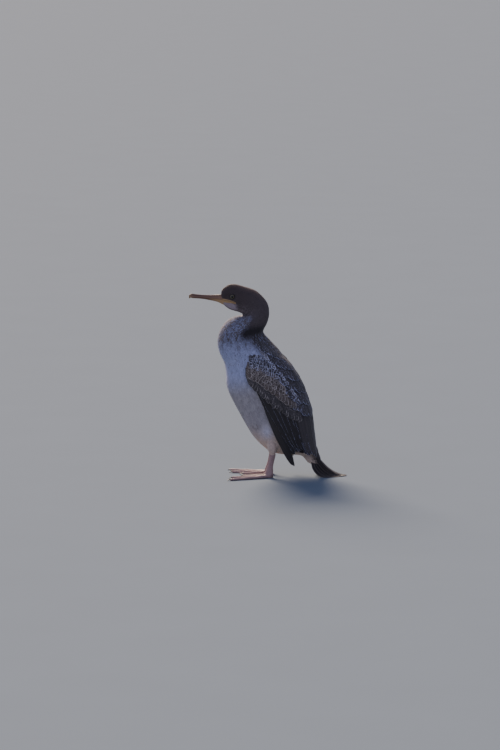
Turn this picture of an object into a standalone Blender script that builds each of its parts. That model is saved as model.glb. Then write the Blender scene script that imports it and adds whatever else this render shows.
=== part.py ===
"""A young shag, a small cormorant, standing upright with its neck drawn in.

It faces -Y, its left side is +X and +Z is up. The origin is on the floor, under the
middle of its length. Sizes are in millimetres, and the meshes are made in metres.
"""
import math

import bmesh
import bpy
import numpy as np

MM = 0.001
# Clearance between neighbours: at flat ends, and where one is cut to clear another
GAP = 0.3
CUT_GAP = 0.35
WELD = 0.001
SHARP_ANGLE = 40.0

# Body rows from the face to the rump: throat or belly point (y, z), crown or back point
# (y, z), half width
BODY_ROWS = (
    (-91.5, 354.0, -97.3, 376.2, 7.4),
    (-88.0, 350.2, -95.8, 385.0, 9.6),
    (-79.5, 344.3, -89.0, 391.6, 12.2),
    (-70.0, 341.0, -78.5, 397.3, 14.3),
    (-60.5, 338.2, -64.0, 397.3, 16.2),
    (-52.0, 334.4, -47.0, 392.6, 17.8),
    (-46.0, 330.8, -26.6, 385.3, 19.2),
    (-45.0, 330.2, -9.6, 371.2, 20.4),
    (-46.5, 330.8, 0.4, 356.2, 21.6),
    (-52.0, 332.2, 3.4, 340.4, 23.4),
    (-66.0, 331.6, 2.4, 327.5, 26.5),
    (-82.0, 324.3, -1.0, 316.0, 30.5),
    (-94.5, 310.8, -5.8, 306.5, 35.0),
    (-102.0, 294.5, -7.5, 297.5, 40.0),
    (-104.8, 277.0, 5.0, 283.0, 45.0),
    (-101.0, 257.0, 20.5, 266.5, 48.5),
    (-92.0, 236.0, 34.0, 249.5, 50.0),
    (-88.0, 215.0, 47.0, 236.0, 50.5),
    (-87.0, 195.0, 58.0, 220.0, 50.5),
    (-82.0, 175.5, 67.0, 203.0, 50.0),
    (-72.0, 153.5, 75.0, 185.5, 48.5),
    (-60.0, 131.0, 82.0, 167.0, 46.5),
    (-47.0, 107.5, 87.0, 147.0, 44.0),
    (-33.0, 85.0, 90.0, 127.0, 41.0),
    (-16.5, 66.3, 91.5, 108.0, 37.0),
    (2.0, 51.5, 92.5, 91.0, 32.5),
    (24.0, 45.0, 94.5, 78.0, 27.5),
    (46.0, 42.5, 98.0, 69.5, 23.0),
    (67.0, 40.0, 101.0, 63.0, 19.0),
)
HEAD_END = 6
NECK_END = 13
BODY_END = len(BODY_ROWS) - 1
BODY_SIDES = 24
RINGS_PER_ROW = 2
TORSO_RINGS_PER_ROW = 1
BODY_FULLNESS = 0.92

# Bill rows: mouth line (y, z), outer ridge (y, z), half width
UPPER_BILL_ROWS = (
    (-94.7, 365.0, -97.6, 375.6, 6.8),
    (-104.0, 366.2, -105.0, 375.2, 5.6),
    (-119.0, 368.0, -119.5, 374.5, 4.3),
    (-135.0, 369.6, -135.5, 375.0, 3.6),
    (-148.0, 370.4, -148.5, 376.2, 3.4),
    (-155.0, 370.2, -156.5, 377.0, 3.2),
    (-159.3, 368.4, -161.3, 374.2, 2.3),
    (-160.6, 366.6, -162.0, 369.5, 1.0),
)
LOWER_BILL_ROWS = (
    (-94.6, 364.6, -91.9, 354.6, 6.6),
    (-104.0, 365.8, -103.5, 360.0, 5.4),
    (-119.0, 367.6, -118.8, 363.6, 4.0),
    (-135.0, 369.2, -134.8, 366.3, 3.2),
    (-148.0, 370.0, -147.8, 367.4, 2.8),
    (-154.5, 369.8, -154.3, 367.8, 2.0),
    (-157.2, 369.2, -157.1, 368.4, 1.0),
)
BILL_ARC_SIDES = 10
BILL_GROOVE_ANGLE = 52.0
BILL_GROOVE_DEPTH = 0.16
BILL_GROOVE_SPREAD = 11.0

# Eyes, with the ring of lids round each
EYE_CENTRE = (9.9, -73.2, 372.2)
EYE_RADIUS = 5.2
EYE_SEGMENTS = 12
EYE_RINGS = 8
LID_STEPS = 11
LID_RING_RADIUS = 4.5
LID_THICKNESS = 1.1
LID_CENTRE_X = 13.0

# Line of the mouth behind the bill
GAPE_POINTS = ((-98.0, 365.4), (-88.0, 364.4), (-77.0, 362.6), (-67.0, 359.6))
GAPE_GROOVE_RADIUS = 0.7
GAPE_STEPS = 8

# The folded wing lies on a surface round a straight axis down the bird's side
WING_TOP = np.array([-46.0, 292.0])
WING_FOOT = np.array([47.0, 33.0])
# Rows: distance down the axis, back's distance, centre's distance, half width
WING_ROWS = (
    (0.0, 36.0, -4.0, 47.0),
    (40.0, 53.0, -2.0, 54.5),
    (80.0, 69.5, 2.0, 57.5),
    (120.0, 79.5, 6.0, 58.0),
    (160.0, 82.0, 8.0, 56.0),
    (200.0, 79.5, 9.0, 52.0),
    (240.0, 69.0, 10.0, 45.0),
    (280.0, 59.5, 12.0, 36.5),
    (310.0, 56.0, 14.0, 32.0),
)
# Core of the wing under its feathers: distance down the axis, turn of back and front edges
WING_CORE_ROWS = (
    (12.0, 50.0, 78.0),
    (22.0, 34.0, 90.0),
    (40.0, 22.0, 100.0),
    (80.0, 15.0, 108.0),
    (140.0, 14.0, 109.0),
    (190.0, 16.0, 101.5),
    (228.0, 22.0, 98.0),
    (240.0, 34.0, 89.0),
)
WING_STATIONS = 11
WING_ACROSS = 7
WING_DEPTH = 9.0
WING_END_DEPTH = 4.5
# The core's top lies under the surface by these at its shoulder and at its lower end, and
# by the drop at its edges
CORE_LIFT = -1.1
CORE_END_LIFT = -2.4
CORE_THINS_FROM = 150.0
CORE_EDGE_DROP = 0.8

# Feather tiers from the lowest to the topmost. Each has its count, the line of its roots
# and of its tips as (distance down the axis, turn), half width, lift at the tip, the roll
# that raises its front edge over its neighbour, and its form.
LONG_FORM = ((0.0, 0.35), (0.35, 0.85), (0.7, 1.0), (0.9, 0.74), (1.0, 0.16))
SHORT_FORM = ((0.0, 0.42), (0.5, 1.0), (0.82, 0.84), (1.0, 0.28))
WING_TIERS = (
    ("primary", 5, ((96, 103), (115, 95), (133, 86)),
     ((279, 104), (276, 101.5), (272, 98), (265, 93), (256, 88)), 6.0, -1.0, 15, LONG_FORM),
    ("secondary", 7, ((100, 102), (121, 86), (148, 70), (168, 58)),
     ((249, 88), (256, 82), (261, 74), (265, 64), (268, 55)), 6.6, 0.5, 11, LONG_FORM),
    ("tertial", 4, ((150, 54), (164, 42), (170, 30), (164, 19)),
     ((269, 52), (277, 42), (279, 31), (272, 20)), 8.2, 1.6, 10, LONG_FORM),
    ("greater_covert", 9, ((60, 108), (82, 97), (109, 84), (138, 71), (158, 58)),
     ((100, 112), (125, 102), (155, 90), (186, 71), (201, 58)), 7.6, 2.1, -7, SHORT_FORM),
    ("median_covert", 8, ((48, 101), (66, 92), (90, 82), (118, 70), (140, 58)),
     ((77, 106), (99, 94), (128, 82), (155, 68), (174, 57)), 7.4, 2.2, -7, SHORT_FORM),
    ("low_lesser_covert", 7, ((36, 97), (50, 87), (72, 77), (100, 66)),
     ((60, 103), (76, 89), (100, 77), (129, 66)), 7.0, 1.9, -7, SHORT_FORM),
    ("high_lesser_covert", 6, ((12, 76), (24, 68), (42, 62), (70, 60)),
     ((40, 93), (52, 82), (70, 72), (98, 65)), 7.0, 1.8, -7, SHORT_FORM),
    ("lowest_scapular", 5, ((120, 60), (131, 50), (138, 38), (140, 27), (136, 18)),
     ((168, 63), (182, 53), (192, 40), (196, 28), (190, 17)), 7.6, 2.4, 8, SHORT_FORM),
    ("low_scapular", 5, ((84, 60), (96, 50), (104, 38), (108, 27), (104, 18)),
     ((127, 62), (143, 52), (152, 40), (157, 28), (153, 17)), 7.6, 2.2, 8, SHORT_FORM),
    ("high_scapular", 5, ((46, 58), (58, 48), (68, 38), (74, 27), (74, 19)),
     ((86, 62), (98, 52), (109, 40), (118, 28), (116, 18)), 7.4, 2.1, 8, SHORT_FORM),
    ("top_scapular", 4, ((12, 54), (22, 44), (34, 33), (46, 23)),
     ((44, 63), (56, 51), (71, 38), (82, 24)), 7.6, 1.6, 8, SHORT_FORM),
)
# Roots lie this far under the surface, and a vane rises from there along a curve
ROOT_SINK = -2.3
PRIMARY_ROOT_SINK = -3.6
LIFT_CURVE = 1.6
VANE_THICKNESS = 0.6
LENGTH_VARIATION = 0.035
FEATHER_SEED = 11

# Tail coverts round the feathers' roots: under point (y, z), upper point (y, z), half width
TAIL_ROWS = (
    (67.0, 40.0, 101.0, 63.0, 19.0),
    (76.0, 32.5, 104.5, 52.5, 18.0),
    (84.5, 26.0, 107.5, 43.5, 15.5),
    (91.5, 22.5, 109.5, 35.5, 12.0),
    (97.0, 20.5, 111.0, 29.5, 7.5),
)
TAIL_SIDES = 16
TAIL_FULLNESS = 0.9
# Middle lines (y, z) of the central and of the outermost tail feather
CENTRAL_TAIL_LINE = (
    (93.0, 50.0), (104.5, 37.5), (115.5, 25.5), (127.0, 15.0), (139.5, 7.5), (151.5, 3.2), (162.2, 1.6)
)
OUTER_TAIL_LINE = (
    (90.0, 38.5), (92.5, 28.0), (96.5, 18.0), (102.0, 10.0), (109.5, 5.0), (118.5, 2.2), (128.0, 0.9)
)
# Feathers a side, and for the central and the outermost: distance from the middle plane at
# root and tip, and roll there
TAIL_PAIRS = 6
TAIL_STATIONS = 6
TAIL_STACKING = 1.25
TAIL_FLARE = 1.3
TAIL_LENGTH_VARIATION = 0.02
TAIL_ROOT_SPREAD = (2.6, 10.0)
TAIL_TIP_SPREAD = (4.2, 25.0)
TAIL_ROOT_ROLL = (5.0, 58.0)
TAIL_TIP_ROLL = (2.0, 7.0)
TAIL_HALF_WIDTH = 6.8

# Leg rows: middle of the left leg (x, y, z), half width and half depth
THIGH_ROWS = (
    (15.0, 7.0, 90.0, 6.0, 9.0),
    (21.5, 7.5, 75.0, 12.0, 13.0),
    (26.0, 8.5, 62.0, 12.0, 11.5),
    (27.0, 9.0, 53.0, 8.6, 9.2),
    (27.0, 9.3, 46.5, 5.4, 7.4),
)
TARSUS_ROWS = (
    (27.0, 9.1, 46.2, 4.3, 6.4),
    (27.0, 7.6, 38.0, 3.7, 6.0),
    (27.0, 5.6, 28.0, 3.5, 5.8),
    (27.0, 3.6, 19.5, 4.0, 6.4),
    (27.0, 2.6, 15.0, 4.8, 7.4),
)
ANKLE_ROWS = (
    (27.0, 2.6, 14.7, 4.6, 7.2),
    (27.0, 2.2, 10.0, 6.0, 8.6),
    (27.0, 1.6, 5.0, 7.2, 9.6),
    (27.0, 1.4, -1.0, 7.0, 9.4),
)
LEG_SIDES = 16
# Toes: name, turn outwards from straight ahead, length, radius at the root
TOES = (
    ("hallux", -60.0, 29.0, 3.2),
    ("inner", -16.0, 64.0, 3.7),
    ("middle", 5.0, 84.0, 3.9),
    ("outer", 24.0, 95.0, 4.0),
)
HEEL = (29.0, 3.0)
TOE_SIDES = 8
TOE_STATIONS = 7
TOE_TAPER = 0.45
TOE_SEAT = 0.62
TOE_KNUCKLES = 3
KNUCKLE_SWELLING = 0.14
CLAW_LENGTH = 9.0
CLAW_TAPER = 0.72
CLAW_ARCH = 0.6
# Web: height of its top, how far it reaches under the floor before it is cut there, how
# far its free edges are drawn in, and the turns of its two inner corners past the toes
WEB_THICKNESS = 1.2
WEB_UNDERCUT = 0.5
WEB_DIP = 0.13
WEB_STEPS = 6
WEB_CORNER_TURNS = (-25.0, 35.0)
WEB_CORNER_REACH = 3.0

MATERIALS = {
    "plumage_dark": ((0.055, 0.045, 0.045), 0.75),
    "plumage_pale": ((0.42, 0.40, 0.40), 0.85),
    "wing_brown": ((0.050, 0.042, 0.040), 0.70),
    "bill_horn": ((0.18, 0.11, 0.07), 0.40),
    "eye_olive": ((0.10, 0.10, 0.07), 0.12),
    "leg_skin": ((0.30, 0.20, 0.17), 0.55),
}


def through(rows, at):
    """Values on a smooth curve through rows, whose first column is the place along it."""
    rows = np.asarray(rows, float)
    keys, values = rows[:, 0], rows[:, 1:]
    steps = np.diff(keys)[:, None]
    slopes = np.diff(values, axis=0) / steps
    tangents = np.zeros_like(values)
    tangents[0], tangents[-1] = slopes[0], slopes[-1]
    tangents[1:-1] = (slopes[:-1] * steps[:-1] + slopes[1:] * steps[1:]) / (steps[:-1] + steps[1:])
    span = int(np.clip(np.searchsorted(keys, at, side="right") - 1, 0, len(keys) - 2))
    step = keys[span + 1] - keys[span]
    part = (at - keys[span]) / step
    return (
        (2 * part**3 - 3 * part**2 + 1) * values[span]
        + (part**3 - 2 * part**2 + part) * step * tangents[span]
        + (3 * part**2 - 2 * part**3) * values[span + 1]
        + (part**3 - part**2) * step * tangents[span + 1]
    )


def numbered(rows):
    """The same rows with their own number put first, as the place along the curve."""
    return [(place, *row) for place, row in enumerate(rows)]


def unit(vector):
    return np.asarray(vector, float) / np.linalg.norm(vector)


def oval_ring(row, sides, fullness):
    """A closed ring round two points of the middle plane, under and upper, as wide as stated."""
    under, upper, half_width = np.array(row[0:2]), np.array(row[2:4]), row[4]
    middle = (under + upper) / 2
    reach = (upper - under) / 2
    ring = []
    for number in range(sides):
        turn = 2 * math.pi * number / sides
        across = math.copysign(abs(math.sin(turn)) ** fullness, math.sin(turn))
        place = middle + reach * math.cos(turn)
        ring.append((half_width * across, place[0], place[1]))
    return np.array(ring)


def bill_ring(row):
    """A ring with a flat side at the mouth line and an arch over the bill's ridge."""
    edge, ridge, half_width = np.array(row[0:2]), np.array(row[2:4]), row[4]
    ring = []
    for number in range(BILL_ARC_SIDES + 1):
        turn = math.pi * (number / BILL_ARC_SIDES - 0.5)
        off_groove = (abs(math.degrees(turn)) - BILL_GROOVE_ANGLE) / BILL_GROOVE_SPREAD
        pinch = 1 - BILL_GROOVE_DEPTH * math.exp(-off_groove**2)
        place = edge + (ridge - edge) * math.cos(turn)
        ring.append((half_width * math.sin(turn) * pinch, place[0], place[1]))
    return np.array(ring)


def ring_normal(ring):
    """The unit normal of a flat ring, from two of its chords."""
    quarter = len(ring) // 4
    return unit(np.cross(ring[quarter] - ring[0], ring[2 * quarter] - ring[0]))


def mesh_object(name, points, faces):
    """An object made of the points, in millimetres, with its faces turned outwards."""
    mesh = bpy.data.meshes.new(name)
    work = bmesh.new()
    verts = [work.verts.new([value * MM for value in point]) for point in points]
    for face in faces:
        work.faces.new([verts[corner] for corner in face])
    bmesh.ops.recalc_face_normals(work, faces=work.faces)
    work.to_mesh(mesh)
    work.free()
    return bpy.data.objects.new(name, mesh)


def loft(name, rings):
    """A closed body through the rings, with a flat end at the first and the last."""
    sides = len(rings[0])
    points = [point for ring in rings for point in ring]
    faces = []
    for level in range(len(rings) - 1):
        for side in range(sides):
            here, beside = level * sides + side, level * sides + (side + 1) % sides
            faces.append((here, beside, beside + sides, here + sides))
    faces.append(tuple(range(sides)))
    faces.append(tuple(range((len(rings) - 1) * sides, len(rings) * sides)))
    return mesh_object(name, points, faces)


def smooth_rings(rows, ring_of, per_row=RINGS_PER_ROW, first=0, last=None):
    """Rings on the smooth curve through the rows, from one row's number to another's."""
    last = len(rows) - 1 if last is None else last
    count = (last - first) * per_row
    return [ring_of(through(numbered(rows), first + step / per_row)) for step in range(count + 1)]


def add_to(collection, obj):
    collection.objects.link(obj)
    return obj


def apply_boolean(obj, operation, other):
    """Join or cut obj with another object or with a whole collection, and keep the result."""
    modifier = obj.modifiers.new(operation.title(), "BOOLEAN")
    modifier.operation = operation
    modifier.solver = "EXACT"
    if isinstance(other, bpy.types.Collection):
        modifier.operand_type = "COLLECTION"
        modifier.collection = other
    else:
        modifier.object = other
    bpy.context.view_layer.update()
    evaluated = obj.evaluated_get(bpy.context.evaluated_depsgraph_get())
    result = bpy.data.meshes.new_from_object(evaluated)
    obj.modifiers.clear()
    old = obj.data
    obj.data = result
    bpy.data.meshes.remove(old)


def keep_largest(obj):
    """Keep only the largest closed surface of the object."""
    work = bmesh.new()
    work.from_mesh(obj.data)
    bmesh.ops.remove_doubles(work, verts=work.verts, dist=WELD * MM)
    left = set(work.faces)
    shells = []
    while left:
        shell, front = set(), [left.pop()]
        while front:
            face = front.pop()
            shell.add(face)
            for edge in face.edges:
                for other in edge.link_faces:
                    if other in left:
                        left.discard(other)
                        front.append(other)
        shells.append(shell)
    largest = max(shells, key=lambda shell: sum(face.calc_area() for face in shell))
    extra = [face for face in work.faces if face not in largest]
    bmesh.ops.delete(work, geom=extra, context="FACES")
    work.to_mesh(obj.data)
    work.free()


def swollen(obj, name, distance, collection):
    """A cutter like obj, with its surface moved out by the distance."""
    cutter = bpy.data.objects.new(name, obj.data.copy())
    work = bmesh.new()
    work.from_mesh(cutter.data)
    work.normal_update()
    moves = [vert.normal.copy() * distance * MM for vert in work.verts]
    for vert, move in zip(work.verts, moves):
        vert.co += move
    work.to_mesh(cutter.data)
    work.free()
    cutter.hide_render = True
    cutter.display_type = "WIRE"
    collection.objects.link(cutter)
    return cutter


def mirrored(obj, name, collection):
    """The same piece on the bird's other side."""
    mesh = obj.data.copy()
    work = bmesh.new()
    work.from_mesh(mesh)
    for vert in work.verts:
        vert.co.x = -vert.co.x
    bmesh.ops.reverse_faces(work, faces=work.faces)
    work.to_mesh(mesh)
    work.free()
    other = bpy.data.objects.new(name, mesh)
    collection.objects.link(other)
    return other


def body_ring(row):
    return oval_ring(row, BODY_SIDES, BODY_FULLNESS)


def draw_back(rings):
    """Move the first ring along its own normal by the gap, clear of the piece before it."""
    normal = ring_normal(rings[0])
    if np.dot(normal, rings[1].mean(axis=0) - rings[0].mean(axis=0)) < 0:
        normal = -normal
    rings[0] = rings[0] + normal * GAP
    return rings


def body_length(name, first, last, per_row=RINGS_PER_ROW):
    """A length of the body between two rows, drawn back by the gap at its first ring."""
    rings = smooth_rings(BODY_ROWS, body_ring, per_row, first, last)
    return loft(name, draw_back(rings) if first > 0 else rings)


def ball(name, centre, radius):
    mesh = bpy.data.meshes.new(name)
    work = bmesh.new()
    bmesh.ops.create_uvsphere(work, u_segments=EYE_SEGMENTS, v_segments=EYE_RINGS, radius=radius * MM)
    bmesh.ops.translate(work, verts=work.verts, vec=[value * MM for value in centre])
    work.to_mesh(mesh)
    work.free()
    return bpy.data.objects.new(name, mesh)


def tube(name, centres, radii, sides):
    """A closed round tube through the centres."""
    rings = []
    for number, (centre, radius) in enumerate(zip(centres, radii)):
        before = np.array(centres[max(number - 1, 0)])
        after = np.array(centres[min(number + 1, len(centres) - 1)])
        along = unit(after - before)
        side = unit(np.cross(along, (0.0, 0.0, 1.0) if abs(along[2]) < 0.9 else (1.0, 0.0, 0.0)))
        up = np.cross(side, along)
        ring = []
        for step in range(sides):
            turn = 2 * math.pi * step / sides
            ring.append(np.array(centre) + radius * (side * math.cos(turn) + up * math.sin(turn)))
        rings.append(np.array(ring))
    return loft(name, rings)


def make_head(collection, cutters):
    head = add_to(collection, body_length("head", 0, HEAD_END))
    for side in (1, -1):
        centre = (EYE_CENTRE[0] * side, EYE_CENTRE[1], EYE_CENTRE[2])
        ring = []
        for step in range(LID_STEPS):
            turn = 2 * math.pi * step / LID_STEPS
            ring.append((
                LID_CENTRE_X * side,
                centre[1] + LID_RING_RADIUS * math.cos(turn),
                centre[2] + LID_RING_RADIUS * math.sin(turn),
            ))
        lid = add_to(cutters, closed_ring_tube("lid", ring, LID_THICKNESS))
        apply_boolean(head, "UNION", lid)
        bpy.data.objects.remove(lid)
        socket = add_to(cutters, ball("socket", centre, EYE_RADIUS + GAP))
        apply_boolean(head, "DIFFERENCE", socket)
        bpy.data.objects.remove(socket)
        groove = add_to(cutters, gape_groove(side))
        apply_boolean(head, "DIFFERENCE", groove)
        bpy.data.objects.remove(groove)
    keep_largest(head)
    return head


def closed_ring_tube(name, centres, radius, sides=6):
    """A closed round tube bent into a ring that lies across the X axis."""
    centres = np.array(centres)
    middle = centres.mean(axis=0)
    points, faces = [], []
    for centre in centres:
        out = unit(centre - middle)
        for step in range(sides):
            turn = 2 * math.pi * step / sides
            across = np.array([math.sin(turn), 0.0, 0.0])
            points.append(centre + radius * (out * math.cos(turn) + across))
    count = len(centres)
    for level in range(count):
        for side in range(sides):
            here = level * sides + side
            beside = level * sides + (side + 1) % sides
            above = ((level + 1) % count) * sides + side
            corner = ((level + 1) % count) * sides + (side + 1) % sides
            faces.append((here, beside, corner, above))
    return mesh_object(name, points, faces)


def body_side(y, z):
    """The body's half width where its side passes through y and z."""
    best = None
    for step in range(0, NECK_END * 8):
        row = through(numbered(BODY_ROWS), step / 8)
        under, upper = np.array(row[0:2]), np.array(row[2:4])
        reach = upper - under
        off = np.array([y, z]) - (under + upper) / 2
        along = float(np.dot(off, reach) / np.dot(reach, reach)) * 2
        miss = abs(float(off[0] * reach[1] - off[1] * reach[0])) / np.linalg.norm(reach)
        if abs(along) < 1 and (best is None or miss < best[0]):
            best = (miss, row[4] * math.sqrt(1 - along**2) ** BODY_FULLNESS)
    return best[1]


def gape_groove(side):
    """The cutter for the line of the mouth behind the bill, along the side of the face."""
    centres = []
    for step in range(GAPE_STEPS + 1):
        y, z = spaced(GAPE_POINTS, step / GAPE_STEPS)
        centres.append((side * body_side(y, z), y, z))
    radii = [GAPE_GROOVE_RADIUS] * GAPE_STEPS + [GAPE_GROOVE_RADIUS / 2]
    return tube("gape", centres, radii, sides=6)


def wing_point(down, turn, lift=0.0):
    """A point on the left wing's surface, raised from it by the lift.

    down is the distance along the wing's axis, and turn the angle round it from the back.
    """
    back, centre, half_width = through(WING_ROWS, down)
    axis = unit(WING_FOOT - WING_TOP)
    out = np.array([-axis[1], axis[0]])
    angle = math.radians(turn)
    reach = back - centre
    place = WING_TOP + axis * down + out * (centre + (reach + lift) * math.cos(angle))
    return np.array([(half_width + lift) * math.sin(angle), place[0], place[1]])


def wing_core(name):
    """The shell that carries the wing's feathers, between its surface and a deeper one."""
    first, last = WING_CORE_ROWS[0][0], WING_CORE_ROWS[-1][0]
    outer, inner = [], []
    for station in range(WING_STATIONS + 1):
        down = first + (last - first) * station / WING_STATIONS
        back_edge, front_edge = through(WING_CORE_ROWS, down)
        ending = max(0.0, (down - CORE_THINS_FROM) / (last - CORE_THINS_FROM))
        lift = CORE_LIFT + (CORE_END_LIFT - CORE_LIFT) * ending
        depth = WING_DEPTH + (WING_END_DEPTH - WING_DEPTH) * ending
        for step in range(WING_ACROSS + 1):
            across = step / WING_ACROSS
            turn = back_edge + (front_edge - back_edge) * across
            drop = CORE_EDGE_DROP * abs(2 * across - 1) ** 6
            outer.append(wing_point(down, turn, lift - drop))
            inner.append(wing_point(down, turn, -depth))
    return shell_between(name, outer, inner, WING_STATIONS + 1, WING_ACROSS + 1)


def wing_frame(down, turn):
    """The surface's two tangents there, for a millimetre down and for a degree round."""
    step = 0.5
    along = (wing_point(down + step, turn) - wing_point(down - step, turn)) / (2 * step)
    around = (wing_point(down, turn + step) - wing_point(down, turn - step)) / (2 * step)
    return along, around


def vane(name, centres, sides, ups, half_widths):
    """A closed flat vane through the stations, split into triangles alike on both faces."""
    outer, inner = [], []
    for centre, side, up, half_width in zip(centres, sides, ups, half_widths):
        for edge in (-1, 1):
            place = centre + side * edge * half_width
            outer.append(place + up * VANE_THICKNESS / 2)
            inner.append(place - up * VANE_THICKNESS / 2)
    return shell_between(name, outer, inner, len(centres), 2)


def wing_vane(name, root, tip, half_width, sink, tip_lift, roll, form):
    """A feather laid along the wing's surface and rolled so that one edge is uppermost."""
    turned = math.radians(roll)
    root, tip = np.array(root, float), np.array(tip, float)
    centres, sides, ups, half_widths = [], [], [], []
    for part, width in form:
        down, turn = root + (tip - root) * part
        along, around = wing_frame(down, turn)
        run = unit(along * (tip - root)[0] + around * (tip - root)[1])
        up = unit(np.cross(around, along))
        if up[0] < 0:
            up = -up
        side = unit(np.cross(up, run))
        if np.dot(side, around) < 0:
            side = -side
        centres.append(wing_point(down, turn, sink + (tip_lift - sink) * part**LIFT_CURVE))
        sides.append(side * math.cos(turned) + up * math.sin(turned))
        ups.append(up * math.cos(turned) - side * math.sin(turned))
        half_widths.append(half_width * width)
    return vane(name, centres, sides, ups, half_widths)


def spaced(line, place):
    """The point at a part of the way along a smooth line of points."""
    return through(numbered(line), place * (len(line) - 1))


def feather_tiers(pieces, rng):
    for name, count, roots, tips, half_width, lift, roll, form in WING_TIERS:
        sink = PRIMARY_ROOT_SINK if name == "primary" else ROOT_SINK
        for number in range(count):
            place = number / (count - 1)
            root, tip = spaced(roots, place), spaced(tips, place)
            length = tip[0] - root[0]
            if name != "primary":
                tip = tip + np.array([length * LENGTH_VARIATION * rng.uniform(-1, 1), 0.0])
            piece = wing_vane(name, root, tip, half_width, sink, lift, roll, form)
            pieces.objects.link(piece)


def shell_between(name, outer, inner, rows, columns):
    """A closed slab between two grids of points, split alike on both faces."""
    points = outer + inner
    below = len(outer)
    faces = []
    for row in range(rows - 1):
        for column in range(columns - 1):
            here = row * columns + column
            beside, above, corner = here + 1, here + columns, here + columns + 1
            for base in (0, below):
                faces.append((base + here, base + beside, base + corner))
                faces.append((base + here, base + corner, base + above))
    rim = list(range(columns))
    rim += [row * columns + columns - 1 for row in range(1, rows)]
    rim += [(rows - 1) * columns + column for column in range(columns - 2, -1, -1)]
    rim += [row * columns for row in range(rows - 2, 0, -1)]
    for number, here in enumerate(rim):
        after = rim[(number + 1) % len(rim)]
        faces.append((here, after, below + after, below + here))
    return mesh_object(name, points, faces)


def join_all(obj, pieces):
    """Fuse the collection's pieces into obj, and remove them and the collection."""
    apply_boolean(obj, "UNION", pieces)
    for piece in list(pieces.objects):
        bpy.data.objects.remove(piece)
    bpy.data.collections.remove(pieces)
    keep_largest(obj)


def new_pieces(name):
    pieces = bpy.data.collections.new(name)
    bpy.context.scene.collection.children.link(pieces)
    return pieces


def make_wing(collection, cutters, neighbours):
    """The folded left wing: a core with its tiers of feathers, cut clear of what it lies on."""
    wing = add_to(collection, wing_core("wing_left"))
    pieces = new_pieces("wing_pieces")
    feather_tiers(pieces, np.random.default_rng(FEATHER_SEED))
    join_all(wing, pieces)
    for neighbour in neighbours:
        cutter = swollen(neighbour, "cutter_" + neighbour.name, CUT_GAP, cutters)
        apply_boolean(wing, "DIFFERENCE", cutter)
        bpy.data.objects.remove(cutter)
    keep_largest(wing)
    return wing


def tail_vane(pair, side_sign, rng):
    """One tail feather: pair 0 is in the middle and on top, and the last is outermost."""
    share = pair / (TAIL_PAIRS - 1)
    last = TAIL_STATIONS - 1
    root_x, tip_x = np.interp(share, (0, 1), TAIL_ROOT_SPREAD), np.interp(share, (0, 1), TAIL_TIP_SPREAD)
    root_roll, tip_roll = np.interp(share, (0, 1), TAIL_ROOT_ROLL), np.interp(share, (0, 1), TAIL_TIP_ROLL)
    length = 1 - TAIL_LENGTH_VARIATION * rng.uniform(0, 1)
    centres, half_widths, rolls = [], [], []
    for station in range(TAIL_STATIONS):
        part = station / last * length
        inner, outer = spaced(CENTRAL_TAIL_LINE, part), spaced(OUTER_TAIL_LINE, part)
        place = inner + (outer - inner) * share**TAIL_STACKING
        x = root_x + (tip_x - root_x) * part**TAIL_FLARE
        centres.append(np.array([side_sign * x, place[0], place[1]]))
        rolls.append(root_roll + (tip_roll - root_roll) * part)
        half_widths.append(TAIL_HALF_WIDTH * through(LONG_FORM, station / last)[0])
    sides, ups = [], []
    for station, roll in enumerate(rolls):
        run = unit(centres[min(station + 1, last)] - centres[max(station - 1, 0)])
        level = unit(np.cross(run, (side_sign, 0.0, 0.0)))
        level = level if level[2] > 0 else -level
        out = unit(np.cross(level, run))
        out = out if out[0] * side_sign > 0 else -out
        turn = math.radians(roll)
        sides.append(out * math.cos(turn) - level * math.sin(turn))
        ups.append(level * math.cos(turn) + out * math.sin(turn))
    return vane("rectrix", centres, sides, ups, half_widths)


def make_tail(collection, cutters):
    """The tail: coverts, and stiff feathers whose tips are laid on the floor."""
    rings = smooth_rings(TAIL_ROWS, lambda row: oval_ring(row, TAIL_SIDES, TAIL_FULLNESS))
    tail = add_to(collection, loft("tail", draw_back(rings)))
    pieces = new_pieces("tail_pieces")
    rng = np.random.default_rng(FEATHER_SEED)
    for pair in range(TAIL_PAIRS):
        for side_sign in (1, -1):
            pieces.objects.link(tail_vane(pair, side_sign, rng))
    join_all(tail, pieces)
    cut_at_floor(tail, cutters)
    return tail


def cut_at_floor(obj, cutters):
    """Cut off what lies below the floor, which leaves flats to rest on."""
    mesh = bpy.data.meshes.new("below_floor")
    work = bmesh.new()
    bmesh.ops.create_cube(work, size=1.0)
    bmesh.ops.translate(work, verts=work.verts, vec=(0, 0, -0.5))
    work.to_mesh(mesh)
    work.free()
    cutter = add_to(cutters, bpy.data.objects.new("below_floor", mesh))
    apply_boolean(obj, "DIFFERENCE", cutter)
    bpy.data.objects.remove(cutter)
    keep_largest(obj)


def leg_rings(rows):
    """Level rings of a leg, each an ellipse."""
    rings = []
    for x, y, z, half_width, half_depth in rows:
        ring = []
        for step in range(LEG_SIDES):
            turn = 2 * math.pi * step / LEG_SIDES
            ring.append((x + half_width * math.cos(turn), y + half_depth * math.sin(turn), z))
        rings.append(np.array(ring))
    return rings


def make_thigh(collection, cutters, torso):
    rows = smooth_rings(THIGH_ROWS, lambda row: row)
    thigh = add_to(collection, loft("thigh_left", leg_rings(rows)))
    cutter = swollen(torso, "cutter_torso", CUT_GAP, cutters)
    apply_boolean(thigh, "DIFFERENCE", cutter)
    bpy.data.objects.remove(cutter)
    keep_largest(thigh)
    return thigh


def make_tarsus(collection):
    return add_to(collection, loft("tarsus_left", leg_rings(TARSUS_ROWS)))


def toe_point(turn, distance):
    angle = math.radians(turn)
    return np.array([HEEL[0] + distance * math.sin(angle), HEEL[1] - distance * math.cos(angle)])


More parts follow.
